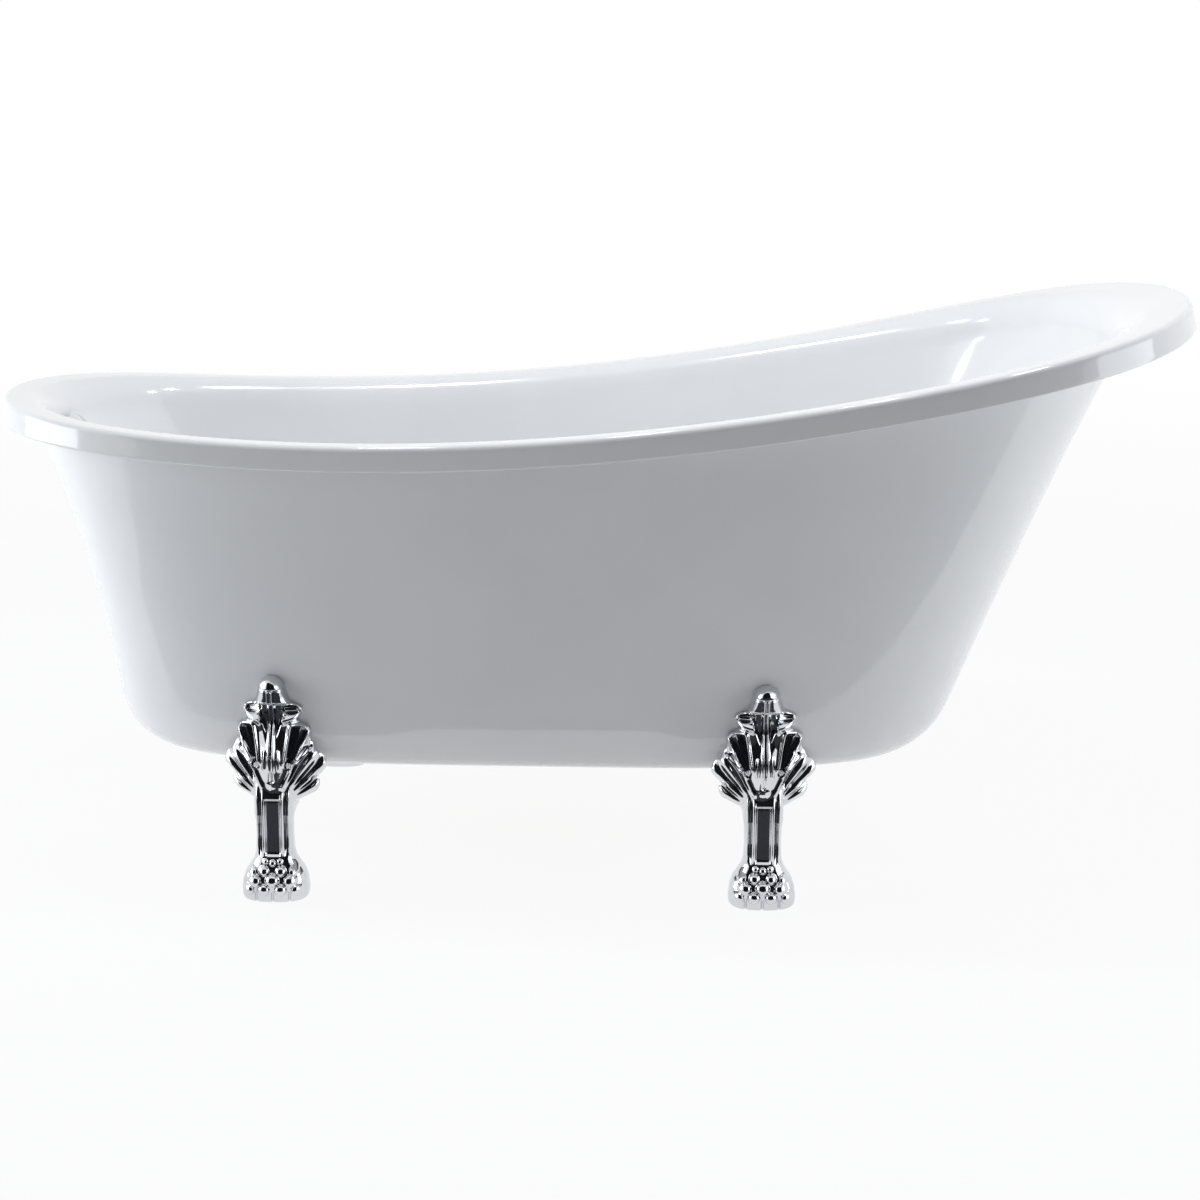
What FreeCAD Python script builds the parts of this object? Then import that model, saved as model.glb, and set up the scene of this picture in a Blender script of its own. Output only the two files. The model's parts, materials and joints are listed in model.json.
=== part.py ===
import FreeCAD, Part

import math
import os

# Slipper clawfoot bathtub, millimetres.  +X runs along the tub towards the raised head end,
# -Y is the near side and +Z is up.  The origin is on the floor under the middle of the rim.

V = FreeCAD.Vector
X, Y, Z = V(1, 0, 0), V(0, 1, 0), V(0, 0, 1)

# ---------------------------------------------------------------- driving dimensions

LENGTH = 1500.0            # over the rim band
WIDTH = 720.0              # over the rim band, at the widest place
HEAD_HEIGHT = 735.0        # floor to the rim's top at the head end
LOW_HEIGHT = 573.0         # floor to the rim's top at its lowest place
LOW_X = 412.0 - LENGTH / 2  # where the rim is lowest
SWEEP = 1426.0             # length over which the rim's rise bends
PLAN_WAVES = (385.8, 42.0, 52.6, 3.9, 7.2)   # sine terms of the egg-shaped outline

BAND = 30.0                # depth of the rim's outer band
BAND_EDGE = 7.0            # radius along the band's top edge
SHELL = 5.0                # wall of the basin
ROLL_DEPTH = 36.0          # height of the roll from the rim's top into the well
ROLL_SHARE = 0.55          # share of the rim's width that the roll takes
ROLL_TURN = 65.0           # degrees that the roll turns before the wall takes over
WELL_INSET = (70.0, 52.0, 104.0)       # rim edge to the well's wall: low end, sides, head end
WELL_CENTRE = -62.0        # middle of the well's floor along the tub
WELL_HALF_LENGTH = LENGTH / 2 - 295.0
WELL_HALF_WIDTH = WIDTH / 2 - 160.0
WELL_SQUARE = 3.0          # squareness of the floor's outline, where 2 is an ellipse
WELL_FLARE = (0.20, 0.05)  # how much the wall bends outwards: low end, head end
WELL_CORNER = (95.0, 70.0)             # blend of wall into floor: up the wall, along the floor

SKIN = 4.0                 # wall of the apron
APRON_INSET = (28.2, 26.0, 82.6)       # rim edge to the apron: low end, sides, head end
APRON_BOTTOM = 151.0       # underside of the apron above the floor
APRON_CENTRE = -74.0
APRON_HALF_LENGTH = LENGTH / 2 - 233.0
APRON_HALF_WIDTH = WIDTH / 2 - 117.5
APRON_SQUARE = 3.85
APRON_FLARE = (0.38, 0.064)
APRON_CORNER = (72.0, 64.0)
APRON_FLANGE = 68.0        # flat margin turned in under the tub
APRON_AIR = 2.0            # apron's top edge below the rim
CORNER_WEIGHT = 0.8        # fullness of both corner blends

GAP = 0.3                  # air between two pieces that only lie together
RUNNING = 0.05             # radial air between a shaft and its bore

RAIL = 25.0                # square tube of the frame
RAIL_WALL = 2.0
RAIL_Y = APRON_HALF_WIDTH - 98.5       # middle of a side rail
RAIL_REACH = 40.0          # side rail beyond the middle of a foot
CROSS_INBOARD = 66.0       # middle of a foot to the nearer cross rail
BOARD = 12.0
BOARD_HALF_WIDTH = RAIL_Y - 44.0
BOARD_OVER = 34.0          # board beyond the middle of each end cross rail

FOOT_CENTRE = -76.0        # midway between the low and the high pair of feet
FOOT_SPACING = LENGTH - 900.0          # between the two feet of one side
FOOT_OUT = APRON_HALF_WIDTH + 13.5     # middle of a paw from the tub's middle plane
PAW_LIFT = 2.0             # paw above the floor, on its levelling pad
SHELF = 8.0                # shelf that carries the tub
SHELF_HALF_WIDTH = 27.0
SHELF_TOE = RAIL_Y - 26.0  # inner end of the shelf from the tub's middle plane

BOLT_R = 6.0
BOLT_AIR = 0.7
HEX_AF = 19.0              # across the flats of bolt heads and nuts
BOLT_HEAD = 7.5
BOLT_END = 4.0             # bolt beyond its nut
NUT = 10.0
WASHER = 2.5
WASHER_R = 12.0

PAD_R = 20.0
PAD = 6.0
PAD_AIR = 1.0
PAD_BEVEL = 1.5
STEM_R = 5.0
STEM = 36.0
STEM_AIR = 2.0             # bore beyond the stem's end

DRAIN_X = 355.0 - LENGTH / 2
DRAIN_HOLE_R = 25.5
DRAIN_TUBE_R = 23.0
DRAIN_TUBE_WALL = 2.0
DRAIN_FLANGE_R = 35.0
DRAIN_FLANGE = 3.0
DRAIN_DEPTH = 26.0         # tube below the flange
WASTE_GASKET = 3.0
WASTE_R = 28.0
WASTE_RIM_R = 32.0
WASTE_RIM = 4.0
WASTE_BORE_R = 17.0
WASTE_LENGTH = 62.0
SPIGOT_R = 21.0
SPIGOT = 16.0
INLET_DROP = 24.0          # middle of the side inlet below the waste's top
INLET_REACH = 46.0         # end of the side inlet from the drain's axis
PIPE_R = 7.0
PIPE_WALL = 1.2
PIPE_KNEE_Z = LOW_HEIGHT - 133.0       # slight bend where the space behind the wall widens
PIPE_TURN_X = DRAIN_X - 150.0          # bend towards the waste
PIPE_BENDS = (220.0, 45.0)
PIPE_SOCKET = 12.0
SOCKET_WALL = 1.3
RING_NUT_WALL = 1.8
RING_NUT = 12.0
NECK_TOP = 20.0            # neck's ends below the middle of the overflow
NECK_END = 49.0

TAIL_R = 19.05             # outside radius of an inch-and-a-half waste tailpiece
TAIL_WALL = 1.2
TAIL_END = 92.0            # lower end above the floor
TAIL_FLANGE = 2.0
TAIL_COLLAR = 0.25         # thicker neck of the tailpiece inside the nut's shoulder
SLIP_NUT = 16.0
SLIP_NUT_AF = 52.0
SLIP_SHOULDER = 3.5

PLUG_R = 32.0
PLUG_DOME = 7.0
PLUG_SEAL = 1.6
POST_R = 4.0
SLEEVE_R = 7.0
SLEEVE = 24.0
SLEEVE_FLOOR = 2.0
SPOKE = 4.0                # width and depth of the strainer's crossed bars

OVERFLOW_Z = LOW_HEIGHT - 46.0
OVERFLOW_HOLE_R = 16.0
COVER_R = 35.0
COVER_DOME = 10.0
COVER_STAND = 6.0          # cover's edge off the middle of the wall, which lets water past
HOOD_R = 22.0
HOOD = 9.0
HOOD_WALL = 2.0
HOOD_BAR = 9.0             # width of the bar that takes the screw
SEAL = 2.0
SCREW_R = 3.0
SCREW_HEAD = 2.5

STATIONS = 30              # points of every ring round the tub
WALL_STRIPS = 3
CORNER_STRIPS = 3
ROLL_STRIPS = 3
EDGE_STRIPS = 2

# ---------------------------------------------------------------- heights that follow

RAIL_BOTTOM = APRON_BOTTOM + SKIN + GAP
RAIL_TOP = RAIL_BOTTOM + RAIL
BOARD_BOTTOM = RAIL_TOP + GAP
WELL_UNDER = BOARD_BOTTOM + BOARD + GAP
WELL_FLOOR = WELL_UNDER + SHELL
SHELF_TOP = APRON_BOTTOM - GAP
FOOT_X = {"low": FOOT_CENTRE - FOOT_SPACING / 2, "high": FOOT_CENTRE + FOOT_SPACING / 2}


# ---------------------------------------------------------------- small helpers

def spread(steps, start=0.0, stop=1.0):
    """The ends of so many equal steps from start to stop."""
    return [start + (stop - start) * i / steps for i in range(steps + 1)]


def ring_wire(points):
    """A smooth closed wire through the points."""
    curve = Part.BSplineCurve()
    stations = [float(i) for i in range(len(points) + 1)]
    curve.interpolate(Points=points, PeriodicFlag=True, Parameters=stations)
    return Part.Wire([curve.toShape()])


def polygon(points):
    return Part.makePolygon(points + [points[0]])


def cylinder(radius, base, length, direction=Z):
    return Part.makeCylinder(radius, length, base, direction)


def tube(outer, inner, base, length, direction=Z):
    return cylinder(outer, base, length, direction).cut(cylinder(inner, base, length, direction))


def turned(profile, base, axis=Z, side=X):
    """A solid turned round an axis from (radius, height) corners."""
    points = [base + side * radius + axis * height for radius, height in profile]
    return Part.Face(polygon(points)).revolve(base, axis, 360)


def hexagon(flats, base, length, axis=Z, side=X):
    """A hexagonal bar of this size across its flats."""
    other = axis.cross(side)
    corner = flats / math.sqrt(3)
    points = []
    for i in range(6):
        angle = math.radians(60 * i)
        points.append(base + side * (corner * math.cos(angle)) + other * (corner * math.sin(angle)))
    return Part.Face(polygon(points)).extrude(axis * length)


def group(solids):
    return Part.makeCompound(solids)


# ---------------------------------------------------------------- outlines of the tub

def wave_height(angle):
    """Half-width of the egg outline at this angle, before it is scaled to the width."""
    return sum(size * math.sin((i + 1) * angle) for i, size in enumerate(PLAN_WAVES))


def wave_slope(angle):
    return sum(size * (i + 1) * math.cos((i + 1) * angle) for i, size in enumerate(PLAN_WAVES))


WAVE_PEAK = max(wave_height(angle) for angle in spread(720, 0.0, math.pi))


def rise(x):
    """Bend of the rim's top line: flat at its lowest place and nearly straight far from it."""
    return math.sqrt(1.0 + ((x - LOW_X) / SWEEP) ** 2) - 1.0


RISE_GAIN = (HEAD_HEIGHT - LOW_HEIGHT) / rise(LENGTH / 2)


def rim_height(x):
    return LOW_HEIGHT + RISE_GAIN * rise(x)


def rim_lean(x):
    """Slope of the rim's top line."""
    return RISE_GAIN * (x - LOW_X) / SWEEP ** 2 / (rise(x) + 1.0)


def rim_point(angle, inward, down):
    """A point so far inward of the rim's outer edge and so far below its top."""
    scale = WIDTH / 2 / WAVE_PEAK
    x = LENGTH / 2 * math.cos(angle)
    y = scale * wave_height(angle)
    along = -LENGTH / 2 * math.sin(angle)
    across = scale * wave_slope(angle)
    length = math.hypot(along, across)
    x -= inward * across / length
    y += inward * along / length
    return V(x + rim_lean(x) * (down - BAND), y, rim_height(x) - down)


def by_end(sizes, angle):
    """Blend of three sizes, for the low end, the sides and the head end."""
    low, side, head = sizes
    c = math.cos(angle)
    return side + (head - side) * max(c, 0.0) ** 3 + (low - side) * max(-c, 0.0) ** 3


def power(value, exponent):
    """Power of a number's size that keeps its sign."""
    return math.copysign(abs(value) ** exponent, value)


class Wall:
    """The wall of the well or of the apron, from the rim down to a flat bottom."""

    def __init__(self, inset, depth, centre, half_length, half_width, square, flare, corner,
                 bottom, strips):
        self.inset = inset
        self.depth = depth
        self.centre = centre
        self.half_length = half_length
        self.half_width = half_width
        self.square = square
        self.flare = flare
        self.corner = corner
        self.bottom = bottom
        self.strips = strips

    def grown(self, thickness):
        """The same wall, moved outwards and down by a thickness."""
        return Wall([size - thickness for size in self.inset], self.depth, self.centre,
                    self.half_length + thickness, self.half_width + thickness, self.square,
                    self.flare, [size + thickness / 2 for size in self.corner],
                    self.bottom - thickness, self.strips)

    def upper(self, angle):
        return rim_point(angle, by_end(self.inset, angle), self.depth(angle))

    def oval(self, angle, inward=0.0):
        """A point of the squared oval at the wall's foot, or of one drawn in evenly from it."""
        c, s = math.cos(angle), math.sin(angle)
        return V(self.centre + (self.half_length - inward) * power(c, 2 / self.square),
                 (self.half_width - inward) * power(s, 2 / self.square), self.bottom)

    def curved(self, angle, share):
        """A point on the flared curve that the wall's rings lie on, from 0 at its foot to 1."""
        high = self.upper(angle)
        low = self.oval(angle)
        low_end, head_end = self.flare
        bend = low_end + (head_end - low_end) * (1 + math.cos(angle)) / 2
        out = (1 - bend) * share + bend * share ** 3
        return V(low.x + (high.x - low.x) * out, low.y + (high.y - low.y) * out,
                 low.z + (high.z - low.z) * share)

    def corner_share(self, angle):
        """Where the wall leaves the corner blend."""
        return self.corner[0] / (self.upper(angle).z - self.bottom)

    def corner_point(self, angle, share):
        """A point on the blend from the flat bottom, at 0, to the wall, at 1."""
        flat = self.oval(angle, self.corner[1])
        middle = self.oval(angle)
        start = self.curved(angle, self.corner_share(angle))
        a = (1 - share) ** 2
        b = 2 * CORNER_WEIGHT * share * (1 - share)
        c = share ** 2
        return (flat * a + middle * b + start * c) * (1.0 / (a + b + c))

    def joint(self, angle, step):
        """The point where two strips of the wall meet, counted up from its corner blend."""
        start = self.corner_share(angle)
        return self.curved(angle, start + (1 - start) * step / self.strips)

    def rings(self):
        """Smooth rings from the flat bottom up to the rim."""
        rings = [ring_wire([self.corner_point(angle, share) for angle in AROUND])
                 for share in spread(CORNER_STRIPS)]
        rings += [ring_wire([self.joint(angle, step + 1) for angle in AROUND])
                  for step in range(self.strips)]
        return rings

    def at_height(self, angle, z):
        """The point of the wall's strips at this height."""
        step = 0
        while step < self.strips - 1 and self.joint(angle, step + 1).z < z:
            step += 1
        low, high = self.joint(angle, step), self.joint(angle, step + 1)
        return low + (high - low) * ((z - low.z) / (high.z - low.z))

    def out_at(self, x, z):
        """Distance of the wall from the middle plane, at this place and height."""
        low, high = 0.0, math.pi
        while high - low > 1e-7:
            angle = (low + high) / 2
            if self.at_height(angle, z).x > x:
                low = angle
            else:
                high = angle
        return self.at_height(angle, z).y


def roll(angle, turn):
    """Distance inward and depth of the roll where its surface has turned so far from flat."""
    edge = by_end(WELL_INSET, angle)
    width = ROLL_SHARE * edge
    whole = math.radians(ROLL_TURN)
    inward = edge - width + width * math.sin(turn) / math.sin(whole)
    return inward, ROLL_DEPTH * (1 - math.cos(turn)) / (1 - math.cos(whole))


def underside(angle, inward):
    """Depth of the rim's underside at this distance from its edge."""
    start = roll(angle, 0.0)[0]
    width = by_end(WELL_INSET, angle) - start
    whole = math.radians(ROLL_TURN)
    turn = math.asin(max(inward - start, 0.0) / width * math.sin(whole))
    steepness = ROLL_DEPTH / (1 - math.cos(whole)) * math.sin(whole) / width * math.tan(turn)
    return roll(angle, turn)[1] + SHELL * math.hypot(1, steepness)


def well_depth(angle):
    return ROLL_DEPTH


def apron_depth(angle):
    return underside(angle, by_end(APRON_INSET, angle) + SKIN) + APRON_AIR


AROUND = [2 * math.pi * i / STATIONS for i in range(STATIONS)]
WELL = Wall(WELL_INSET, well_depth, WELL_CENTRE, WELL_HALF_LENGTH, WELL_HALF_WIDTH, WELL_SQUARE,
            WELL_FLARE, WELL_CORNER, WELL_FLOOR, WALL_STRIPS)
APRON = Wall(APRON_INSET, apron_depth, APRON_CENTRE, APRON_HALF_LENGTH, APRON_HALF_WIDTH,
             APRON_SQUARE, APRON_FLARE, APRON_CORNER, APRON_BOTTOM, WALL_STRIPS)


# ---------------------------------------------------------------- basin and apron

def rim_ring(inward, down):
    return ring_wire([rim_point(angle, inward, down) for angle in AROUND])


def roll_ring(share, thickness=0.0):
    """A ring on the roll, from 0 at the flat top to 1 at the well, or at a thickness under it."""
    turn = math.radians(ROLL_TURN) * share
    points = []
    for angle in AROUND:
        inward, down = roll(angle, turn)
        points.append(rim_point(angle, inward - thickness * math.sin(turn),
                                down + thickness * math.cos(turn)))
    return ring_wire(points)


def band_rings():
    """Rings round the top edge of the band, down its face and back up behind it."""
    rings = []
    for turn in spread(EDGE_STRIPS, 0.0, math.pi / 2):
        rings.append(rim_ring(BAND_EDGE * (1 - math.sin(turn)), BAND_EDGE * (1 - math.cos(turn))))
    return rings + [rim_ring(0.0, BAND), rim_ring(SHELL, BAND), rim_ring(SHELL, SHELL)]


def overflow_frame():
    """Middle of the overflow on the well's wall, the way out of the wall and the way up it."""
    middle = WELL.at_height(math.pi, OVERFLOW_Z)
    up = (WELL.at_height(math.pi, OVERFLOW_Z + 1) - middle).normalize()
    return middle, V(up.z, 0, -up.x), up


def basin():
    """One shell: well, rolled rim and band, with its drain and overflow holes."""
    rings = WELL.rings()
    rings += [roll_ring(share) for share in spread(ROLL_STRIPS, 1.0, 0.0)[1:]]
    rings += band_rings()
    rings += [roll_ring(share, SHELL) for share in spread(ROLL_STRIPS)[:-1]]
    rings += WELL.grown(SHELL).rings()[::-1]
    shell = Part.makeLoft(rings, True, True)
    shell = shell.cut(cylinder(DRAIN_HOLE_R, V(DRAIN_X, 0, WELL_UNDER - SHELL), 3 * SHELL))
    middle, out, _ = overflow_frame()
    depth = 4 * SHELL
    return shell.cut(cylinder(OVERFLOW_HOLE_R, middle - out * depth / 2, depth, out))


def apron():
    """The outer shell, with a flange turned in under the tub and holes for the foot bolts."""
    inner = APRON.grown(-SKIN)
    hole_inset = APRON.corner[1] + APRON_FLANGE
    outer_edge = ring_wire([APRON.oval(angle, hole_inset) for angle in AROUND])
    inner_edge = outer_edge.translated(Z * SKIN)
    rings = [outer_edge] + APRON.rings() + inner.rings()[::-1]
    rings += [inner_edge, outer_edge]
    skin = Part.Shell(Part.makeLoft(rings, False, True).Faces)
    skin.sewShape()
    solid = Part.Solid(skin)
    if solid.Volume < 0:
        solid.reverse()
    for x, y in bolt_places():
        solid = solid.cut(cylinder(BOLT_R + BOLT_AIR, V(x, y, APRON_BOTTOM - SKIN), 3 * SKIN))
    return solid


# ---------------------------------------------------------------- board and frame

def cross_places():
    return {"low": FOOT_X["low"] + CROSS_INBOARD, "middle": FOOT_CENTRE,
            "high": FOOT_X["high"] - CROSS_INBOARD}


def base_board():
    places = cross_places()
    start = places["low"] - BOARD_OVER
    length = places["high"] + BOARD_OVER - start
    return Part.makeBox(length, 2 * BOARD_HALF_WIDTH, BOARD,
                        V(start, -BOARD_HALF_WIDTH, BOARD_BOTTOM))


def square_tube(start, along, across, length):
    """A square tube lying on the flange, from the middle of one end."""
    def bar(size):
        corner = start - across * (size / 2) - Z * (size / 2)
        face = Part.Face(polygon([corner, corner + across * size, corner + across * size + Z * size,
                                  corner + Z * size]))
        return face.extrude(along * length)
    return bar(RAIL).cut(bar(RAIL - 2 * RAIL_WALL))


def side_rail(side):
    length = FOOT_SPACING + 2 * RAIL_REACH
    start = V(FOOT_X["low"] - RAIL_REACH, side * RAIL_Y, RAIL_BOTTOM + RAIL / 2)
    rail = square_tube(start, X, Y, length)
    for x, y in bolt_places():
        rail = rail.cut(cylinder(BOLT_R + BOLT_AIR, V(x, y, RAIL_BOTTOM - RAIL), 3 * RAIL))
    return rail


def cross_rail(x):
    half = RAIL_Y - RAIL / 2
    return square_tube(V(x, -half, RAIL_BOTTOM + RAIL / 2), Y, X, 2 * half)


def bolt_places():
    """Middles of the foot bolts, one on every foot."""
    return [(x, side * RAIL_Y) for side in (-1, 1) for x in FOOT_X.values()]


def foot_bolts():
    seat = SHELF_TOP - SHELF - WASHER
    top = RAIL_TOP + NUT + BOLT_END
    bolts = []
    for x, y in bolt_places():
        head = hexagon(HEX_AF, V(x, y, seat - BOLT_HEAD), BOLT_HEAD)
        bolts.append(head.fuse(cylinder(BOLT_R, V(x, y, seat), top - seat)))
    return group(bolts)


def foot_washers():
    seat = SHELF_TOP - SHELF - WASHER
    return group([tube(WASHER_R, BOLT_R + BOLT_AIR / 2, V(x, y, seat), WASHER)
                  for x, y in bolt_places()])


def foot_nuts():
    nuts = []
    for x, y in bolt_places():
        nut = hexagon(HEX_AF, V(x, y, RAIL_TOP), NUT)
        nuts.append(nut.cut(cylinder(BOLT_R + RUNNING, V(x, y, RAIL_TOP), NUT)))
    return group(nuts)


# ---------------------------------------------------------------- cast claw foot

LEAF_TOP = 282.0
LEAF_FOOT = 112.0
LEAF_ROWS = 34             # facets up the leaf
LEAF_STEPS = 14            # facets across its face
LEAF_EDGE = 5.0            # thickness of the leaf at its edges
LEAF_MIDRIB = 15.0         # its thickness at the midrib, over the fans
# Bays of the leaf's outline from its foot up: middle height, half-height, half-width.
LEAF_BAYS = (
    (122.0, 18.0, 25.0), (142.0, 13.0, 54.0), (172.0, 26.0, 64.5), (209.0, 25.0, 45.0),
    (240.0, 10.0, 36.5), (262.0, 21.0, 18.0), (190.0, 52.0, 31.0),
)
# Blades raised on one half of the leaf: root, tip (out from the midrib, height), half-width, height.
LEAF_BLADES = (
    ((4.0, 134.0), (52.0, 143.0), 9.0, 8.0), ((5.0, 142.0), (62.0, 174.0), 12.0, 10.0),
    ((5.0, 160.0), (48.0, 194.0), 11.0, 8.0), ((5.0, 192.0), (42.0, 219.0), 13.0, 9.0),
    ((4.0, 228.0), (34.0, 243.0), 8.0, 7.0), ((0.0, 250.0), (0.0, 276.0), 15.0, 5.0),
)

# Shank and paw from the ground up: height above the paw's sole, half-width, half-depth,
# distance of the middle inward from the paw's middle.
SHANK = (
    (0.0, 37.5, 28.0, 0.0), (4.0, 41.0, 31.0, 0.0), (12.0, 41.5, 31.5, 0.0),
    (19.0, 40.0, 30.0, 0.0), (27.0, 38.0, 30.5, 0.0), (33.0, 35.0, 27.5, 0.0),
    (39.0, 32.0, 27.5, 0.5), (46.0, 26.0, 23.5, 1.0), (56.0, 23.5, 21.0, 2.0),
    (74.0, 23.0, 20.0, 3.0), (98.0, 23.5, 19.5, 3.5), (116.0, 25.0, 19.5, 4.0),
    (132.0, 29.0, 19.0, 5.0),
)
SHANK_STEPS = 40
TOES = 4
TOE_DEPTH = 3.2            # grooves between the toes
FLUTE_DEPTH = 1.8          # hollows down the front of the shank
TOE_TOP = 40.0             # toes end and the fluted shank begins


def facetted(rings):
    """A closed solid of flat triangles between rings of equally many points, with flat ends."""
    faces = []

    def facet(*corners):
        faces.append(Part.Face(polygon(list(corners))))

    for low, high in zip(rings, rings[1:]):
        for i in range(len(low)):
            facet(low[i - 1], low[i], high[i])
            facet(low[i - 1], high[i], high[i - 1])
    facet(*rings[0])
    facet(*rings[-1])
    shell = Part.Shell(faces)
    shell.sewShape()
    solid = Part.Solid(shell)
    if solid.Volume < 0:
        solid.reverse()
    return solid


def shank_ring(height, half_width, half_depth, inward):
    """Outline of the shank or paw, with toes or flutes on its front."""
    points = []
    waves, depth = (TOES, TOE_DEPTH) if height < TOE_TOP else (3, FLUTE_DEPTH)
    for i in range(SHANK_STEPS):
        angle = 2 * math.pi * i / SHANK_STEPS
        c, s = power(math.cos(angle), 0.8), power(math.sin(angle), 0.8)
        front = max(-math.sin(angle), 0.0)
        groove = depth * front * (1 + math.cos(2 * math.pi * waves * (c + 1) / 2)) / 2
        points.append(V(half_width * c, (half_depth - groove) * s - (FOOT_OUT - inward),
                        PAW_LIFT + height))
    return points


def leaf_half_width(height):
    """Half-width of the leaf: the widest of the bays that reach this height."""
    widest = 3.0
    for middle, half_height, half_width in LEAF_BAYS:
        share = max(1 - abs((height - middle) / half_height) ** 2.6, 0.0)
        widest = max(widest, half_width * share ** (1 / 2.6))
    return widest


def blade_height(x, height):
    """Height of the highest blade over the leaf's face, a wave across a tapering line."""
    highest = 0.0
    for root, tip, half_width, lift in LEAF_BLADES:
        run, climb = tip[0] - root[0], tip[1] - root[1]
        length = math.hypot(run, climb)
        along = ((x - root[0]) * run + (height - root[1]) * climb) / length ** 2
        across = abs((height - root[1]) * run - (x - root[0]) * climb) / length
        if 0 < along < 1.05:
            room = half_width * math.sin(math.pi * (0.15 + 0.75 * along))
            swell = (1 + math.cos(math.pi * min(across / room, 1.0))) / 2
            highest = max(highest, lift * swell * min(1.0, 4 * along))
    return highest


def leaf_ring(x_middle, height):
    """Outline of the leaf: its carved face in front and the apron's curve behind."""
    front = []
    back = []
    half_width = leaf_half_width(height)
    thin = min(1.0, (LEAF_TOP - height) / 12.0, (height - LEAF_FOOT + 4.0) / 12.0)
    for share in spread(LEAF_STEPS, -1.0, 1.0):
        x = half_width * math.sin(math.pi / 2 * share)
        wall = APRON.out_at(x_middle + x, max(height, APRON_BOTTOM)) + GAP
        crown = math.cos(math.pi / 2 * share)
        face = (LEAF_MIDRIB - LEAF_EDGE) * crown + blade_height(abs(x), height) * min(1.0, 3 * crown)
        front.append(V(x, -(wall + LEAF_EDGE + face * thin), height))
        back.append(V(x, -wall, height))
    return front + back[::-2]


def claw_foot(name, side):
    """One casting: acanthus leaf, fluted shank, beaded knuckle and paw, with a bolted shelf."""
    x = FOOT_X[name]
    leaf = facetted([leaf_ring(x, height) for height in spread(LEAF_ROWS, LEAF_FOOT, LEAF_TOP)])
    rows = [shank_ring(*row) for row in SHANK]
    head = SHANK[-1]
    rows.append(shank_ring(SHELF_TOP - PAW_LIFT, *head[1:]))
    shank = facetted(rows)
    toe = V(-SHELF_HALF_WIDTH, -FOOT_OUT, SHELF_TOP - SHELF)
    shelf = Part.makeBox(2 * SHELF_HALF_WIDTH, FOOT_OUT - SHELF_TOE, SHELF, toe)
    foot = shank.fuse([leaf, shelf])
    foot = foot.cut(cylinder(BOLT_R + BOLT_AIR, V(0, -RAIL_Y, SHELF_TOP - 2 * SHELF), 3 * SHELF))
    sole = V(0, -FOOT_OUT, 0)
    foot = foot.cut(cylinder(PAD_R + PAD_AIR, sole, PAD + GAP))
    foot = foot.cut(cylinder(STEM_R + RUNNING, sole, PAD + STEM + STEM_AIR))
    if side > 0:
        foot = foot.mirror(V(0, 0, 0), Y)
    return foot.translated(V(x, 0, 0))


def pad(name, side):
    """A round levelling pad, bevelled where it meets the floor."""
    middle = V(FOOT_X[name], side * FOOT_OUT, 0)
    return turned([(0, 0), (PAD_R - PAD_BEVEL, 0), (PAD_R, PAD_BEVEL), (PAD_R, PAD), (0, PAD)], middle)


def stem(name, side):
    """The threaded stem that turns on the pad and screws up into the paw."""
    return cylinder(STEM_R, V(FOOT_X[name], side * FOOT_OUT, PAD), STEM)


# ---------------------------------------------------------------- waste

WASTE_TOP = WELL_UNDER - WASTE_GASKET
INLET_Z = WASTE_TOP - INLET_DROP
SPIGOT_END = WASTE_TOP - WASTE_LENGTH
SOCKET_R = PIPE_R + SOCKET_WALL
RING_NUT_R = SOCKET_R + RING_NUT_WALL
FLANGE_TOP = WELL_FLOOR + DRAIN_FLANGE
DRAIN = V(DRAIN_X, 0, 0)
TUBE_BORE = DRAIN_TUBE_R - DRAIN_TUBE_WALL
TUBE_END = WELL_FLOOR - DRAIN_DEPTH


def drain_flange():
    """Flange and threaded tube, with crossed strainer bars that carry the plug's sleeve."""
    body = turned([(TUBE_BORE, TUBE_END), (DRAIN_TUBE_R, TUBE_END), (DRAIN_TUBE_R, WELL_FLOOR),
                   (DRAIN_FLANGE_R, WELL_FLOOR), (DRAIN_TUBE_R + 2, FLANGE_TOP),
                   (TUBE_BORE, FLANGE_TOP)], DRAIN)
    reach = TUBE_BORE + DRAIN_TUBE_WALL / 2
    for across, along in ((SPOKE / 2, reach), (reach, SPOKE / 2)):
        body = body.fuse(Part.makeBox(2 * across, 2 * along, SPOKE,
                                      DRAIN + V(-across, -along, TUBE_END)))
    return body


def plug_sleeve():
    """Sealed sleeve of the push-down mechanism, standing where the strainer's bars cross."""
    base = DRAIN + Z * (TUBE_END + SPOKE)
    bore = cylinder(POST_R + RUNNING, base + Z * SLEEVE_FLOOR, SLEEVE)
    return cylinder(SLEEVE_R, base, SLEEVE).cut(bore)


def plug_seal():
    """Soft ring under the cap, which closes on the flange."""
    return tube(DRAIN_TUBE_R + 2, SLEEVE_R + 1, DRAIN + Z * (FLANGE_TOP + GAP), PLUG_SEAL)


def plug():
    """The domed cap of the plug, with the post that slides in the sleeve."""
    low = FLANGE_TOP + GAP + PLUG_SEAL
    bulge = PLUG_DOME - 2
    post_end = TUBE_END + SPOKE + SLEEVE_FLOOR + GAP
    return turned([(0, post_end), (POST_R, post_end), (POST_R, low), (PLUG_R, low), (PLUG_R, low + 2),
                   (0.85 * PLUG_R, low + 2 + 0.53 * bulge), (0.5 * PLUG_R, low + 2 + 0.87 * bulge),
                   (0, low + PLUG_DOME)], DRAIN)


def waste_gasket():
    return tube(WASTE_RIM_R - 1, DRAIN_TUBE_R + GAP, DRAIN + Z * WASTE_TOP, WASTE_GASKET)


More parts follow.
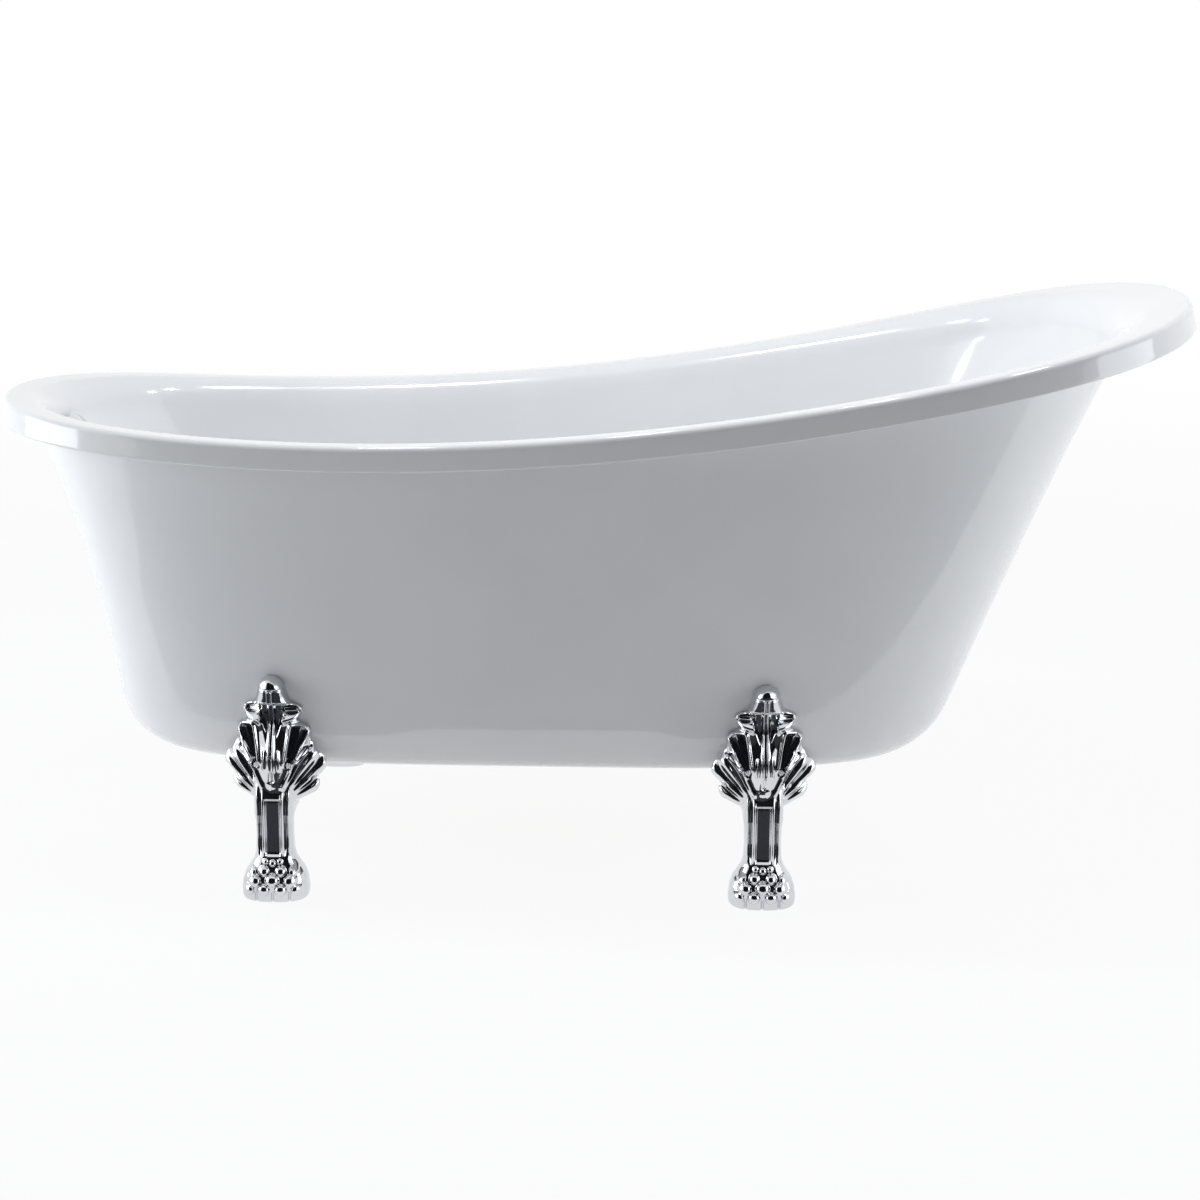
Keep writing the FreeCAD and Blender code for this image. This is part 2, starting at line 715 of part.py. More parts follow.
def waste_body():
    """The cup under the drain, with a side inlet for the overflow and a spigot below."""
    thread_end = TUBE_END - GAP
    shoulder = SPIGOT_END + SPIGOT
    outside = [(WASTE_RIM_R, WASTE_TOP), (WASTE_RIM_R, WASTE_TOP - WASTE_RIM),
               (WASTE_R, WASTE_TOP - WASTE_RIM), (WASTE_R, shoulder + WASTE_R - SPIGOT_R),
               (SPIGOT_R, shoulder), (SPIGOT_R, SPIGOT_END)]
    inside = [(WASTE_BORE_R, SPIGOT_END), (WASTE_BORE_R, shoulder),
              (DRAIN_TUBE_R + RUNNING, thread_end), (DRAIN_TUBE_R + RUNNING, WASTE_TOP)]
    body = turned(outside + inside, DRAIN)
    end = DRAIN + V(-INLET_REACH, 0, INLET_Z)
    inlet = cylinder(SOCKET_R, end, INLET_REACH - WASTE_BORE_R, X)
    core = turned([(0, SPIGOT_END)] + inside + [(0, WASTE_TOP)], DRAIN)
    body = body.fuse(inlet).cut(core)
    body = body.cut(cylinder(PIPE_R + RUNNING, end, PIPE_SOCKET, X))
    return body.cut(cylinder(PIPE_R - PIPE_WALL, end, INLET_REACH, X))


def tailpiece():
    """The flanged tube that the house's trap slips over."""
    low = SPIGOT_END - TAIL_FLANGE
    neck = TAIL_R + TAIL_COLLAR
    free_end = low - SLIP_SHOULDER - GAP
    return turned([(TAIL_R - TAIL_WALL, TAIL_END), (TAIL_R, TAIL_END), (TAIL_R, free_end),
                   (neck, free_end + TAIL_COLLAR), (neck, low), (SPIGOT_R, low),
                   (SPIGOT_R, SPIGOT_END), (TAIL_R - TAIL_WALL, SPIGOT_END)], DRAIN)


def slip_nut():
    """The nut that holds the tailpiece's flange up to the spigot."""
    low = SPIGOT_END - TAIL_FLANGE - SLIP_SHOULDER
    nut = hexagon(SLIP_NUT_AF, DRAIN + Z * low, SLIP_NUT)
    nut = nut.cut(cylinder(TAIL_R + TAIL_COLLAR + RUNNING, DRAIN + Z * low, SLIP_NUT))
    return nut.cut(cylinder(SPIGOT_R + RUNNING, DRAIN + Z * (low + SLIP_SHOULDER), SLIP_NUT))


# ---------------------------------------------------------------- overflow

def between(z):
    """Middle of the space between basin and apron at the low end, at this height."""
    outside = WELL.grown(SHELL).at_height(math.pi, z)
    inside = APRON.grown(-SKIN).at_height(math.pi, z)
    return V((outside.x + inside.x) / 2, 0, z)


MIDDLE, OUT, UP = overflow_frame()
HOOD_FACE = SHELL + SEAL   # depth of the hood's face behind the well's surface
NECK_START = between(OVERFLOW_Z - NECK_TOP)
NECK_WAY = (between(OVERFLOW_Z - NECK_END) - NECK_START).normalize()
NECK = (NECK_END - NECK_TOP) / -NECK_WAY.z
PIPE_START = NECK_START + NECK_WAY * (NECK - PIPE_SOCKET)
PIPE_KNEE = PIPE_START + NECK_WAY * ((PIPE_KNEE_Z - PIPE_START.z) / NECK_WAY.z)
PIPE_TURN = V(PIPE_TURN_X, 0, INLET_Z)
PIPE_END = V(DRAIN_X - INLET_REACH + PIPE_SOCKET, 0, INLET_Z)


def overflow_cover():
    """A domed round cover that stands off the wall on its screw, so that water runs behind it."""
    bulge = COVER_DOME - 2
    top = COVER_STAND + 2
    return turned([(SCREW_R + RUNNING, COVER_STAND), (COVER_R, COVER_STAND), (COVER_R, top),
                   (0.85 * COVER_R, top + 0.53 * bulge), (0.5 * COVER_R, top + 0.87 * bulge),
                   (SCREW_R + RUNNING, top + bulge)], MIDDLE, OUT, UP)


def overflow_screw():
    """The screw through the cover into the hood's bar."""
    low = -(HOOD_FACE + HOOD_WALL)
    head = COVER_STAND + COVER_DOME
    return turned([(0, low), (SCREW_R, low), (SCREW_R, head), (2 * SCREW_R, head),
                   (1.6 * SCREW_R, head + SCREW_HEAD), (0, head + SCREW_HEAD)], MIDDLE, OUT, UP)


def overflow_hood():
    """The flat hood behind the wall, with a bar for the screw and a neck that holds the pipe."""
    base = MIDDLE - OUT * HOOD_FACE
    back = OUT * -1
    body = turned([(0, 0), (HOOD_R, 0), (HOOD_R, HOOD_WALL), (HOOD_R - HOOD_WALL, HOOD_WALL + HOOD),
                   (0, HOOD_WALL + HOOD)], base, back, UP)
    body = body.fuse(cylinder(SOCKET_R, NECK_START, NECK, NECK_WAY))
    body = body.common(cylinder(NECK_END + HOOD_R, base, NECK_END, back))
    body = body.cut(cylinder(OVERFLOW_HOLE_R, base, HOOD, back))
    width = V(0, HOOD_BAR / 2, 0)
    corner = base - UP * HOOD_R
    strip = Part.Face(polygon([corner - width, corner + width, corner + width + UP * 2 * HOOD_R,
                               corner - width + UP * 2 * HOOD_R])).extrude(back * HOOD_WALL)
    body = body.fuse(strip.common(cylinder(OVERFLOW_HOLE_R + 1, base, HOOD_WALL, back)))
    body = body.cut(cylinder(SCREW_R + RUNNING, base, HOOD_WALL, back))
    body = body.cut(cylinder(PIPE_R - PIPE_WALL, NECK_START, NECK, NECK_WAY))
    return body.cut(cylinder(PIPE_R + RUNNING, PIPE_START, PIPE_SOCKET, NECK_WAY))


def hood_seal(shell):
    """The soft ring between the wall and the hood, pressed to the wall's curve."""
    ring = tube(HOOD_R, OVERFLOW_HOLE_R, MIDDLE - OUT * HOOD_FACE, HOOD_FACE, OUT)
    solids = ring.cut(shell).Solids
    return min(solids, key=lambda solid: solid.CenterOfMass.dot(OUT))


def bent_path(corners, bends):
    """Straight runs between the corners, joined by tangent arcs."""
    edges = []
    start = corners[0]
    for i, radius in enumerate(bends):
        before = (corners[i + 1] - corners[i]).normalize()
        after = (corners[i + 2] - corners[i + 1]).normalize()
        half = before.getAngle(after) / 2
        trim = radius * math.tan(half)
        arc_start = corners[i + 1] - before * trim
        arc_end = corners[i + 1] + after * trim
        inside = (after - before).normalize()
        arc_middle = corners[i + 1] + inside * (radius / math.cos(half) - radius)
        edges.append(Part.LineSegment(start, arc_start).toShape())
        edges.append(Part.Arc(arc_start, arc_middle, arc_end).toShape())
        start = arc_end
    edges.append(Part.LineSegment(start, corners[-1]).toShape())
    return Part.Wire(edges)


def overflow_pipe():
    path = bent_path([PIPE_START, PIPE_KNEE, PIPE_TURN, PIPE_END], PIPE_BENDS)
    solids = []
    for radius in (PIPE_R, PIPE_R - PIPE_WALL):
        ring = Part.Wire([Part.Circle(PIPE_START, NECK_WAY, radius).toShape()])
        solids.append(path.makePipeShell([ring], True, False))
    section = math.pi * (PIPE_R ** 2 - (PIPE_R - PIPE_WALL) ** 2)
    pipe = solids[0].cut(solids[1])
    print("overflow pipe bends at", PIPE_BENDS, "volume over section times length",
          round(pipe.Volume / section / path.Length, 4))
    return pipe


def ring_nut(end, way):
    """A round union nut over the end of a socket."""
    nut = cylinder(RING_NUT_R, end - way * (RING_NUT / 2), RING_NUT, way)
    nut = nut.cut(cylinder(PIPE_R + GAP, end - way * RING_NUT, 2 * RING_NUT, way))
    return nut.cut(cylinder(SOCKET_R + RUNNING, end - way * RING_NUT, RING_NUT, way))


def pipe_nuts():
    inlet_end = DRAIN + V(-INLET_REACH, 0, INLET_Z)
    return group([ring_nut(NECK_START + NECK_WAY * NECK, NECK_WAY), ring_nut(inlet_end, X * -1)])


# ---------------------------------------------------------------- all pieces

def pieces():
    shell = basin()
    parts = {"basin": shell, "apron": apron(), "base_board": base_board(),
             "side_rail_near": side_rail(-1), "side_rail_far": side_rail(1),
             "foot_bolts": foot_bolts(), "foot_washers": foot_washers(), "foot_nuts": foot_nuts()}
    for name, x in cross_places().items():
        parts["cross_rail_" + name] = cross_rail(x)
    for side, word in ((-1, "near"), (1, "far")):
        for name in FOOT_X:
            label = word + "_" + name
            parts["claw_foot_" + label] = claw_foot(name, side)
            parts["leveller_pad_" + label] = pad(name, side)
            parts["leveller_stem_" + label] = stem(name, side)
    parts["drain_flange"] = drain_flange()
    parts["plug_sleeve"] = plug_sleeve()
    parts["plug_seal"] = plug_seal()
    parts["plug"] = plug()
    parts["waste_gasket"] = waste_gasket()
    parts["waste_body"] = waste_body()
    parts["tailpiece"] = tailpiece()
    parts["slip_nut"] = slip_nut()
    parts["overflow_cover"] = overflow_cover()
    parts["overflow_screw"] = overflow_screw()
    parts["overflow_hood"] = overflow_hood()
    parts["hood_seal"] = hood_seal(shell)
    parts["overflow_pipe"] = overflow_pipe()
    parts["pipe_nuts"] = pipe_nuts()
    return parts


def main():
    os.makedirs("parts", exist_ok=True)
    for name, shape in pieces().items():
        shape.exportStep("parts/" + name + ".step")
        print(name, shape.ShapeType, len(shape.Solids), shape.isValid(), round(shape.Volume))


main()
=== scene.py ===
"""Slipper clawfoot bathtub: the looks of the tub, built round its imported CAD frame, in metres.

+X runs along the tub to its raised head end, -Y is the near side and +Z is up.  The floor is z = 0.
"""
from __future__ import annotations

import json
import logging
from dataclasses import dataclass
from enum import Enum

import bpy
import numpy as np
from mathutils import Matrix, Vector

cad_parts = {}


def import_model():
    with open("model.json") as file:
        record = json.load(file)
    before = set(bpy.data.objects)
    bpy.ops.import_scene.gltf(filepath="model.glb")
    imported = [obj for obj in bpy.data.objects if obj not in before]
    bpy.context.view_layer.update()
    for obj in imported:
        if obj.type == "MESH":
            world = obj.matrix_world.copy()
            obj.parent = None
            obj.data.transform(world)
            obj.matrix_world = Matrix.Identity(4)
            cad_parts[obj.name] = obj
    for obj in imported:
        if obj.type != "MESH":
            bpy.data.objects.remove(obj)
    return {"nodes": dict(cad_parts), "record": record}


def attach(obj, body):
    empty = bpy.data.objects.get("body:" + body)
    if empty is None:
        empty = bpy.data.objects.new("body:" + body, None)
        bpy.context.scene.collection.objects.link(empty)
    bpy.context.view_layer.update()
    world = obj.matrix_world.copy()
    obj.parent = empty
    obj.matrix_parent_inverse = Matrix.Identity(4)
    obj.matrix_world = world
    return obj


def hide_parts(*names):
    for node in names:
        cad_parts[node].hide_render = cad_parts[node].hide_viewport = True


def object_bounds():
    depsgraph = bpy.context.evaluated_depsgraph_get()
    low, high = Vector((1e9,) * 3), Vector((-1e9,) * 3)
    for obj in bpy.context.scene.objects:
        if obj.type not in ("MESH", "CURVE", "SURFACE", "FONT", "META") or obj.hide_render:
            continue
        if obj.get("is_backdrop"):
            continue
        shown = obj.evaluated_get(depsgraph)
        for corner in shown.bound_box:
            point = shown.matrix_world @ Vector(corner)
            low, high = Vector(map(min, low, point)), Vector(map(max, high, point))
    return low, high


LOG = logging.getLogger("bathtub")
MM = 0.001
TAU = 2.0 * np.pi
# Air between a foot and the apron, in millimetres.
AIR_MM = 0.3
Pair = tuple[float, float]
Triple = tuple[float, float, float]
Surface = tuple[np.ndarray, list[list[int]]]


# ---------------- meshes from formulas

def smooth_step(value: np.ndarray, low: float, high: float) -> np.ndarray:
    """Rise from 0 at low to 1 at high along a cubic with level ends.

    Args:
        value: where to read the step.
        low: value at which the step starts.
        high: value at which it ends.

    Returns:
        The step's height, 3 t^2 - 2 t^3, with t the share of the way.
    """
    share = np.clip((value - low) / (high - low), 0.0, 1.0)
    return share * share * (3.0 - 2.0 * share)


def grid_faces(rows: int, columns: int, wrap_rows: bool, offset: int = 0) -> np.ndarray:
    """Quads between the neighbours of a grid whose columns close round.

    Args:
        rows: number of rings.
        columns: points on each ring.
        wrap_rows: whether the last ring joins the first.
        offset: number of the grid's first vertex.

    Returns:
        One row of four vertex numbers for each quad.
    """
    steps = rows if wrap_rows else rows - 1
    low = np.repeat(np.arange(steps), columns)
    column = np.tile(np.arange(columns), steps)
    high = (low + 1) % rows
    after = (column + 1) % columns
    quads = [low * columns + column, low * columns + after, high * columns + after, high * columns + column]
    return np.stack(quads, -1) + offset


def closed_grid(rings: np.ndarray, wrap_rows: bool) -> Surface:
    """Vertices and faces of a closed surface made of rings, turned to face outwards.

    The signed volume is a sixth of the sum of corner . (corner x corner) over the faces; where it is
    negative, every face is reversed.

    Args:
        rings: points as rows of rings, in metres.
        wrap_rows: True for a ring-shaped body, False for one closed by a point at either end.

    Returns:
        The vertices and the faces.
    """
    count, columns = rings.shape[:2]
    points = rings.reshape(-1, 3)
    faces = grid_faces(count, columns, wrap_rows).tolist()
    if not wrap_rows:
        points = np.vstack([points, rings[0].mean(0), rings[-1].mean(0)])
        first, last = count * columns, count * columns + 1
        base = (count - 1) * columns
        for column in range(columns):
            after = (column + 1) % columns
            faces.append([first, after, column])
            faces.append([last, base + column, base + after])
    corners = np.array([face[:3] for face in faces])
    quads = np.array([face for face in faces if len(face) == 4])
    triangles = points[np.vstack([corners, quads[:, (0, 2, 3)]])]
    volume = np.einsum("ij,ij->", triangles[:, 0], np.cross(triangles[:, 1], triangles[:, 2]))
    if volume < 0.0:
        faces = [face[::-1] for face in faces]
    return points, faces


def mesh_object(name: str, parts: list[Surface]) -> bpy.types.Object:
    """One smooth-shaded object at the origin from one or more closed surfaces.

    Args:
        name: name of the object.
        parts: vertices and faces of each surface.

    Returns:
        The new object, linked to the scene.
    """
    vertices: list[list[float]] = []
    faces: list[list[int]] = []
    for points, polygons in parts:
        start = len(vertices)
        vertices.extend(points.tolist())
        faces.extend([[index + start for index in polygon] for polygon in polygons])
    mesh = bpy.data.meshes.new(name)
    mesh.from_pydata(vertices, [], faces)
    mesh.polygons.foreach_set("use_smooth", np.ones(len(faces), bool))
    mesh.update()
    piece = bpy.data.objects.new(name, mesh)
    bpy.context.scene.collection.objects.link(piece)
    return piece


def turned(profile: list[Pair], base: Vector, axis: Vector, steps: int = 96,
           rounding: float = 0.0005) -> Surface:
    """A closed profile of (radius, height) corners turned round an axis.

    Each corner becomes three rings, a rounding before and after it and one between, so that the
    edges catch the light as turned metal does.

    Args:
        profile: closed corners, in metres from the base.
        base: point on the axis where heights start.
        axis: unit direction of the axis.
        steps: points on each ring.
        rounding: largest length that an edge is rounded over, in metres.

    Returns:
        Vertices and faces.
    """
    corners = np.array(profile)
    before = corners - np.roll(corners, 1, 0)
    after = np.roll(corners, -1, 0) - corners
    before_length = np.linalg.norm(before, axis=1, keepdims=True)
    after_length = np.linalg.norm(after, axis=1, keepdims=True)
    back = corners - before / before_length * np.minimum(rounding, before_length / 3)
    forth = corners + after / after_length * np.minimum(rounding, after_length / 3)
    middle = corners / 2 + (back + forth) / 4
    rows = np.stack([back, middle, forth], 1).reshape(-1, 2)
    rows[:, 0] = np.maximum(rows[:, 0], 1e-5)
    side = axis.orthogonal().normalized()
    other = axis.cross(side)
    turn = np.arange(steps) * TAU / steps
    around = np.cos(turn)[:, None] * np.array(side) + np.sin(turn)[:, None] * np.array(other)
    rings = np.array(base) + rows[:, 0, None, None] * around + rows[:, 1, None, None] * np.array(axis)
    return closed_grid(rings, wrap_rows=True)


# ---------------- finishes

def linear(colour: str) -> tuple[float, float, float, float]:
    """Turn an sRGB hex colour such as "#f3f4f5" into the linear colour that shaders take."""
    parts = np.array([int(colour[i:i + 2], 16) / 255.0 for i in (1, 3, 5)])
    value = np.where(parts <= 0.04045, parts / 12.92, ((parts + 0.055) / 1.055) ** 2.4)
    return (float(value[0]), float(value[1]), float(value[2]), 1.0)


def add_node(tree: bpy.types.NodeTree, kind: str, settings: dict[str | int, object] | None = None,
             links: dict[str | int, bpy.types.NodeSocket] | None = None) -> bpy.types.Node:
    """Add a node, set its sockets or properties by name and link its inputs.

    Args:
        tree: node tree that takes the node.
        kind: type of the node.
        settings: socket or property names with their values.
        links: input names with the sockets that feed them.

    Returns:
        The new node.
    """
    node = tree.nodes.new(kind)
    for name, value in (settings or {}).items():
        if isinstance(name, int) or name in node.inputs:
            node.inputs[name].default_value = value
        else:
            setattr(node, name, value)
    for name, source in (links or {}).items():
        tree.links.new(source, node.inputs[name])
    return node


def blank_material(name: str) -> bpy.types.Material:
    """Make a material whose node tree is empty.

    Args:
        name: name of the material.

    Returns:
        The material.
    """
    material = bpy.data.materials.new(name)
    material.use_nodes = True
    material.node_tree.nodes.clear()
    return material


class Grain(Enum):
    """How the fine pattern of a finish runs."""

    EVEN = "even"
    DRAWN_ALONG_X = "drawn along x"


@dataclass(frozen=True)
class Finish:
    """A real material and the way its surface was made."""

    name: str
    colour: str
    shade: str
    roughness: float
    roughness_swing: float
    grain_mm: float
    relief_mm: float
    metallic: float = 0.0
    ior: float = 1.5
    coat: float = 0.0
    speck: float = 0.0
    grain: Grain = Grain.EVEN

    def two_tone(self, tree: bpy.types.NodeTree, noise: bpy.types.Node, half: float) -> bpy.types.NodeSocket:
        """Turn a noise into the finish's two colours.

        Args:
            tree: the material's node tree.
            noise: the noise that chooses between them.
            half: half of the noise's span, about its middle of 0.5, over which they blend.

        Returns:
            The socket that gives the colour.
        """
        ramp = add_node(tree, "ShaderNodeValToRGB", links={"Fac": noise.outputs["Fac"]})
        for stop, way, colour in zip(ramp.color_ramp.elements, (-1, 1), (self.shade, self.colour)):
            stop.position = 0.5 + way * half
            stop.color = linear(colour)
        return ramp.outputs["Color"]

    def build(self) -> bpy.types.Material:
        """Make the procedural material.

        Noise in Object coordinates, whose period is grain_mm, moves the colour between colour and
        shade, moves the roughness by roughness_swing and lifts the surface by relief_mm.

        Returns:
            The material.
        """
        material = blank_material(self.name)
        tree = material.node_tree
        where = add_node(tree, "ShaderNodeTexCoord")
        stretch = (0.03, 1.0, 1.0) if self.grain is Grain.DRAWN_ALONG_X else (1.0, 1.0, 1.0)
        mapping = add_node(tree, "ShaderNodeMapping", {"Scale": stretch}, {"Vector": where.outputs["Object"]})
        fine = add_node(tree, "ShaderNodeTexNoise", {"Scale": 1.0 / (self.grain_mm * MM), "Detail": 4.0},
                        {"Vector": mapping.outputs["Vector"]})
        broad = add_node(tree, "ShaderNodeTexNoise", {"Scale": 0.11 / (self.grain_mm * MM), "Detail": 2.0},
                         {"Vector": mapping.outputs["Vector"]})
        colour = self.two_tone(tree, broad, 0.15)
        if self.speck:
            blend = add_node(tree, "ShaderNodeMixRGB", {"Fac": self.speck},
                             {"Color1": colour, "Color2": self.two_tone(tree, fine, 0.08)})
            colour = blend.outputs["Color"]
        gloss = add_node(tree, "ShaderNodeMapRange",
                         {"To Min": self.roughness - self.roughness_swing,
                          "To Max": self.roughness + self.roughness_swing},
                         {"Value": fine.outputs["Fac"]})
        bump = add_node(tree, "ShaderNodeBump", {"Strength": 1.0, "Distance": self.relief_mm * MM},
                        {"Height": fine.outputs["Fac"]})
        shader = add_node(tree, "ShaderNodeBsdfPrincipled", {"Metallic": self.metallic, "IOR": self.ior,
                                                             "Coat Weight": self.coat,
                                                             "Coat Roughness": 0.03},
                          {"Base Color": colour, "Roughness": gloss.outputs["Result"],
                           "Normal": bump.outputs["Normal"]})
        add_node(tree, "ShaderNodeOutputMaterial", links={"Surface": shader.outputs["BSDF"]})
        return material


# Cast acrylic sheet, vacuum formed: cool white, mirror gloss, with the faint long ripple of the sheet.
ACRYLIC = Finish("vacuum_formed_acrylic", "#f6f6f6", "#f3f3f4", 0.10, 0.015, 16.0, 0.010, ior=1.49, coat=0.35)
# Zinc casting, polished and chromed: nearly a mirror, softened by the casting's hand-polished waves.
CAST_CHROME = Finish("chromed_casting", "#dcdee1", "#d2d4d8", 0.055, 0.02, 7.0, 0.05, metallic=1.0)
# Turned brass, chromed: sharper mirror than the casting.
TURNED_CHROME = Finish("chromed_turned_brass", "#dfe1e4", "#d6d8dc", 0.05, 0.012, 9.0, 0.006, metallic=1.0)
# Hot-dip galvanised tube: grey with spangles of about 12 mm.
GALVANISED = Finish("galvanised_tube", "#a3a8ac", "#7e8488", 0.42, 0.10, 12.0, 0.05, metallic=0.9)
# Bright zinc on rolled threads and hex heads.
ZINC = Finish("bright_zinc_plate", "#c3c5c4", "#9da0a0", 0.30, 0.06, 3.0, 0.02, metallic=1.0)
# Raw particle board: pressed chips of 2 to 6 mm.
CHIPBOARD = Finish("raw_particle_board", "#c9a877", "#93713f", 0.75, 0.08, 4.0, 0.25, speck=0.75)
# Glass-filled nylon, moulded: dark, slightly waxy.
NYLON = Finish("moulded_nylon", "#26272a", "#1c1d1f", 0.52, 0.06, 1.6, 0.03, ior=1.53)
# Moulded EPDM rubber.
RUBBER = Finish("moulded_rubber", "#161617", "#101011", 0.72, 0.06, 1.2, 0.03)
# Injection-moulded polypropylene.
POLYPROPYLENE = Finish("moulded_polypropylene", "#e6e6e2", "#d8d8d3", 0.42, 0.05, 2.2, 0.03, ior=1.49)
# Turned brass.
BRASS = Finish("turned_brass", "#c9a353", "#a9853c", 0.24, 0.05, 2.0, 0.01, metallic=1.0,
               grain=Grain.DRAWN_ALONG_X)

SLOT_FINISH = {
    "acrylic": ACRYLIC, "chipboard": CHIPBOARD, "galvanised_steel": GALVANISED,
    "chromed_casting": CAST_CHROME, "zinc_steel": ZINC, "nylon": NYLON, "chromed_brass": TURNED_CHROME,
    "brass": BRASS, "rubber": RUBBER, "waste_plastic": POLYPROPYLENE,
}


class Finishes:
    """The finishes that the tub uses, each made once."""

    def __init__(self) -> None:
        """Build a material for every slot of the record."""
        self.by_slot = {slot: finish.build() for slot, finish in SLOT_FINISH.items()}

    def dress(self, piece: bpy.types.Object, slot: str) -> None:
        """Give a piece the material of a slot.

        Args:
            piece: the piece.
            slot: the record's name for the material.
        """
        piece.data.materials.clear()
        piece.data.materials.append(self.by_slot[slot])


# ---------------- tub shells

@dataclass(frozen=True)
class TubOutline:
    """The egg-shaped rim seen from above and its rise to the head end."""

    length: float = 1500.0 * MM
    width: float = 720.0 * MM
    head_height: float = 734.7 * MM
    low_height: float = 573.0 * MM
    low_x: float = -338.0 * MM
    sweep: float = 1426.0 * MM
    waves: tuple[float, ...] = (385.8, 42.0, 52.6, 3.9, 7.2)
    band: float = 30.0 * MM

    def half_width(self, angle: np.ndarray) -> np.ndarray:
        """Sum of sines of whole multiples of the angle, with the sizes in waves."""
        return sum(size * np.sin((i + 1) * angle) for i, size in enumerate(self.waves))

    def half_width_slope(self, angle: np.ndarray) -> np.ndarray:
        """Derivative of that sum."""
        return sum(size * (i + 1) * np.cos((i + 1) * angle) for i, size in enumerate(self.waves))

    def height(self, x: np.ndarray) -> np.ndarray:
        """Height of the rim's top line: a hyperbola, level at low_x and nearly straight far from it.

        Args:
            x: place along the tub.

        Returns:
            The height, which is head_height at the head end.
        """
        bend = np.sqrt(1.0 + ((x - self.low_x) / self.sweep) ** 2) - 1.0
        end = np.sqrt(1.0 + ((self.length / 2 - self.low_x) / self.sweep) ** 2) - 1.0
        return self.low_height + (self.head_height - self.low_height) * bend / end

    def lean(self, x: np.ndarray) -> np.ndarray:
        """Slope of the rim's top line, by a central difference over 2 mm."""
        return (self.height(x + MM) - self.height(x - MM)) / (2 * MM)

    def point(self, angle: np.ndarray, inward: np.ndarray | float, down: np.ndarray | float) -> np.ndarray:
        """Points so far inward of the rim's outer edge and so far below its top.

        The outline is x = half length * cos(angle), y = scaled sum of sines; the point moves along
        its inward normal, drops below the height curve and slides along x with the band's lean.

        Args:
            angle: position round the tub, 0 at the head end.
            inward: distance from the outer edge.
            down: distance below the top.

        Returns:
            Points, one row for each angle.
        """
        peak = np.max(self.half_width(np.linspace(0.0, np.pi, 721)))
        scale = self.width / 2 / peak
        x = self.length / 2 * np.cos(angle)
        y = scale * self.half_width(angle)
        along = -self.length / 2 * np.sin(angle)
        across = scale * self.half_width_slope(angle)
        run = np.hypot(along, across)
        x = x - inward * across / run
        y = y + inward * along / run
        return np.stack([x + self.lean(x) * (down - self.band), y, self.height(x) - down], -1)


def by_end(sizes: Triple, angle: np.ndarray) -> np.ndarray:
    """Blend three sizes round the tub by the cube of the cosine.

    Args:
        sizes: sizes at the low end, at the sides and at the head end.
        angle: position round the tub.

    Returns:
        The size at each angle.
    """
    low, side, head = sizes
    c = np.cos(angle)
    return side + (head - side) * np.clip(c, 0, None) ** 3 + (low - side) * np.clip(-c, 0, None) ** 3


def signed_power(value: np.ndarray, exponent: float) -> np.ndarray:
    """Power of a number's size that keeps its sign."""
    return np.sign(value) * np.abs(value) ** exponent


WELL_INSET = (70.0 * MM, 52.0 * MM, 104.0 * MM)
ROLL_DEPTH = 36.0 * MM
ROLL_SHARE = 0.55
ROLL_TURN = float(np.radians(65.0))
SHELL = 5.0 * MM
# Air between the rim's underside and the apron's top edge.
APRON_AIR = 2.0 * MM


def rim_underside(angle: np.ndarray, inward: np.ndarray) -> np.ndarray:
    """Depth of the rolled rim's underside, which the apron's top edge follows.

    The roll's section is the ellipse inward = width * sin(turn), depth = 1 - cos(turn); the shell's
    thickness is measured along its normal, so it counts as hypot(1, slope) downwards.

    Args:
        angle: position round the tub.
        inward: distance from the rim's outer edge.

    Returns:
        The depth below the rim's top.
    """
    width = ROLL_SHARE * by_end(WELL_INSET, angle)
    start = (1 - ROLL_SHARE) * by_end(WELL_INSET, angle)
    turn = np.arcsin(np.clip((inward - start) / width, 0.0, 1.0) * np.sin(ROLL_TURN))
    slope = ROLL_DEPTH / (1 - np.cos(ROLL_TURN)) * np.sin(ROLL_TURN) / width * np.tan(turn)
    return ROLL_DEPTH * (1 - np.cos(turn)) / (1 - np.cos(ROLL_TURN)) + SHELL * np.hypot(1.0, slope)


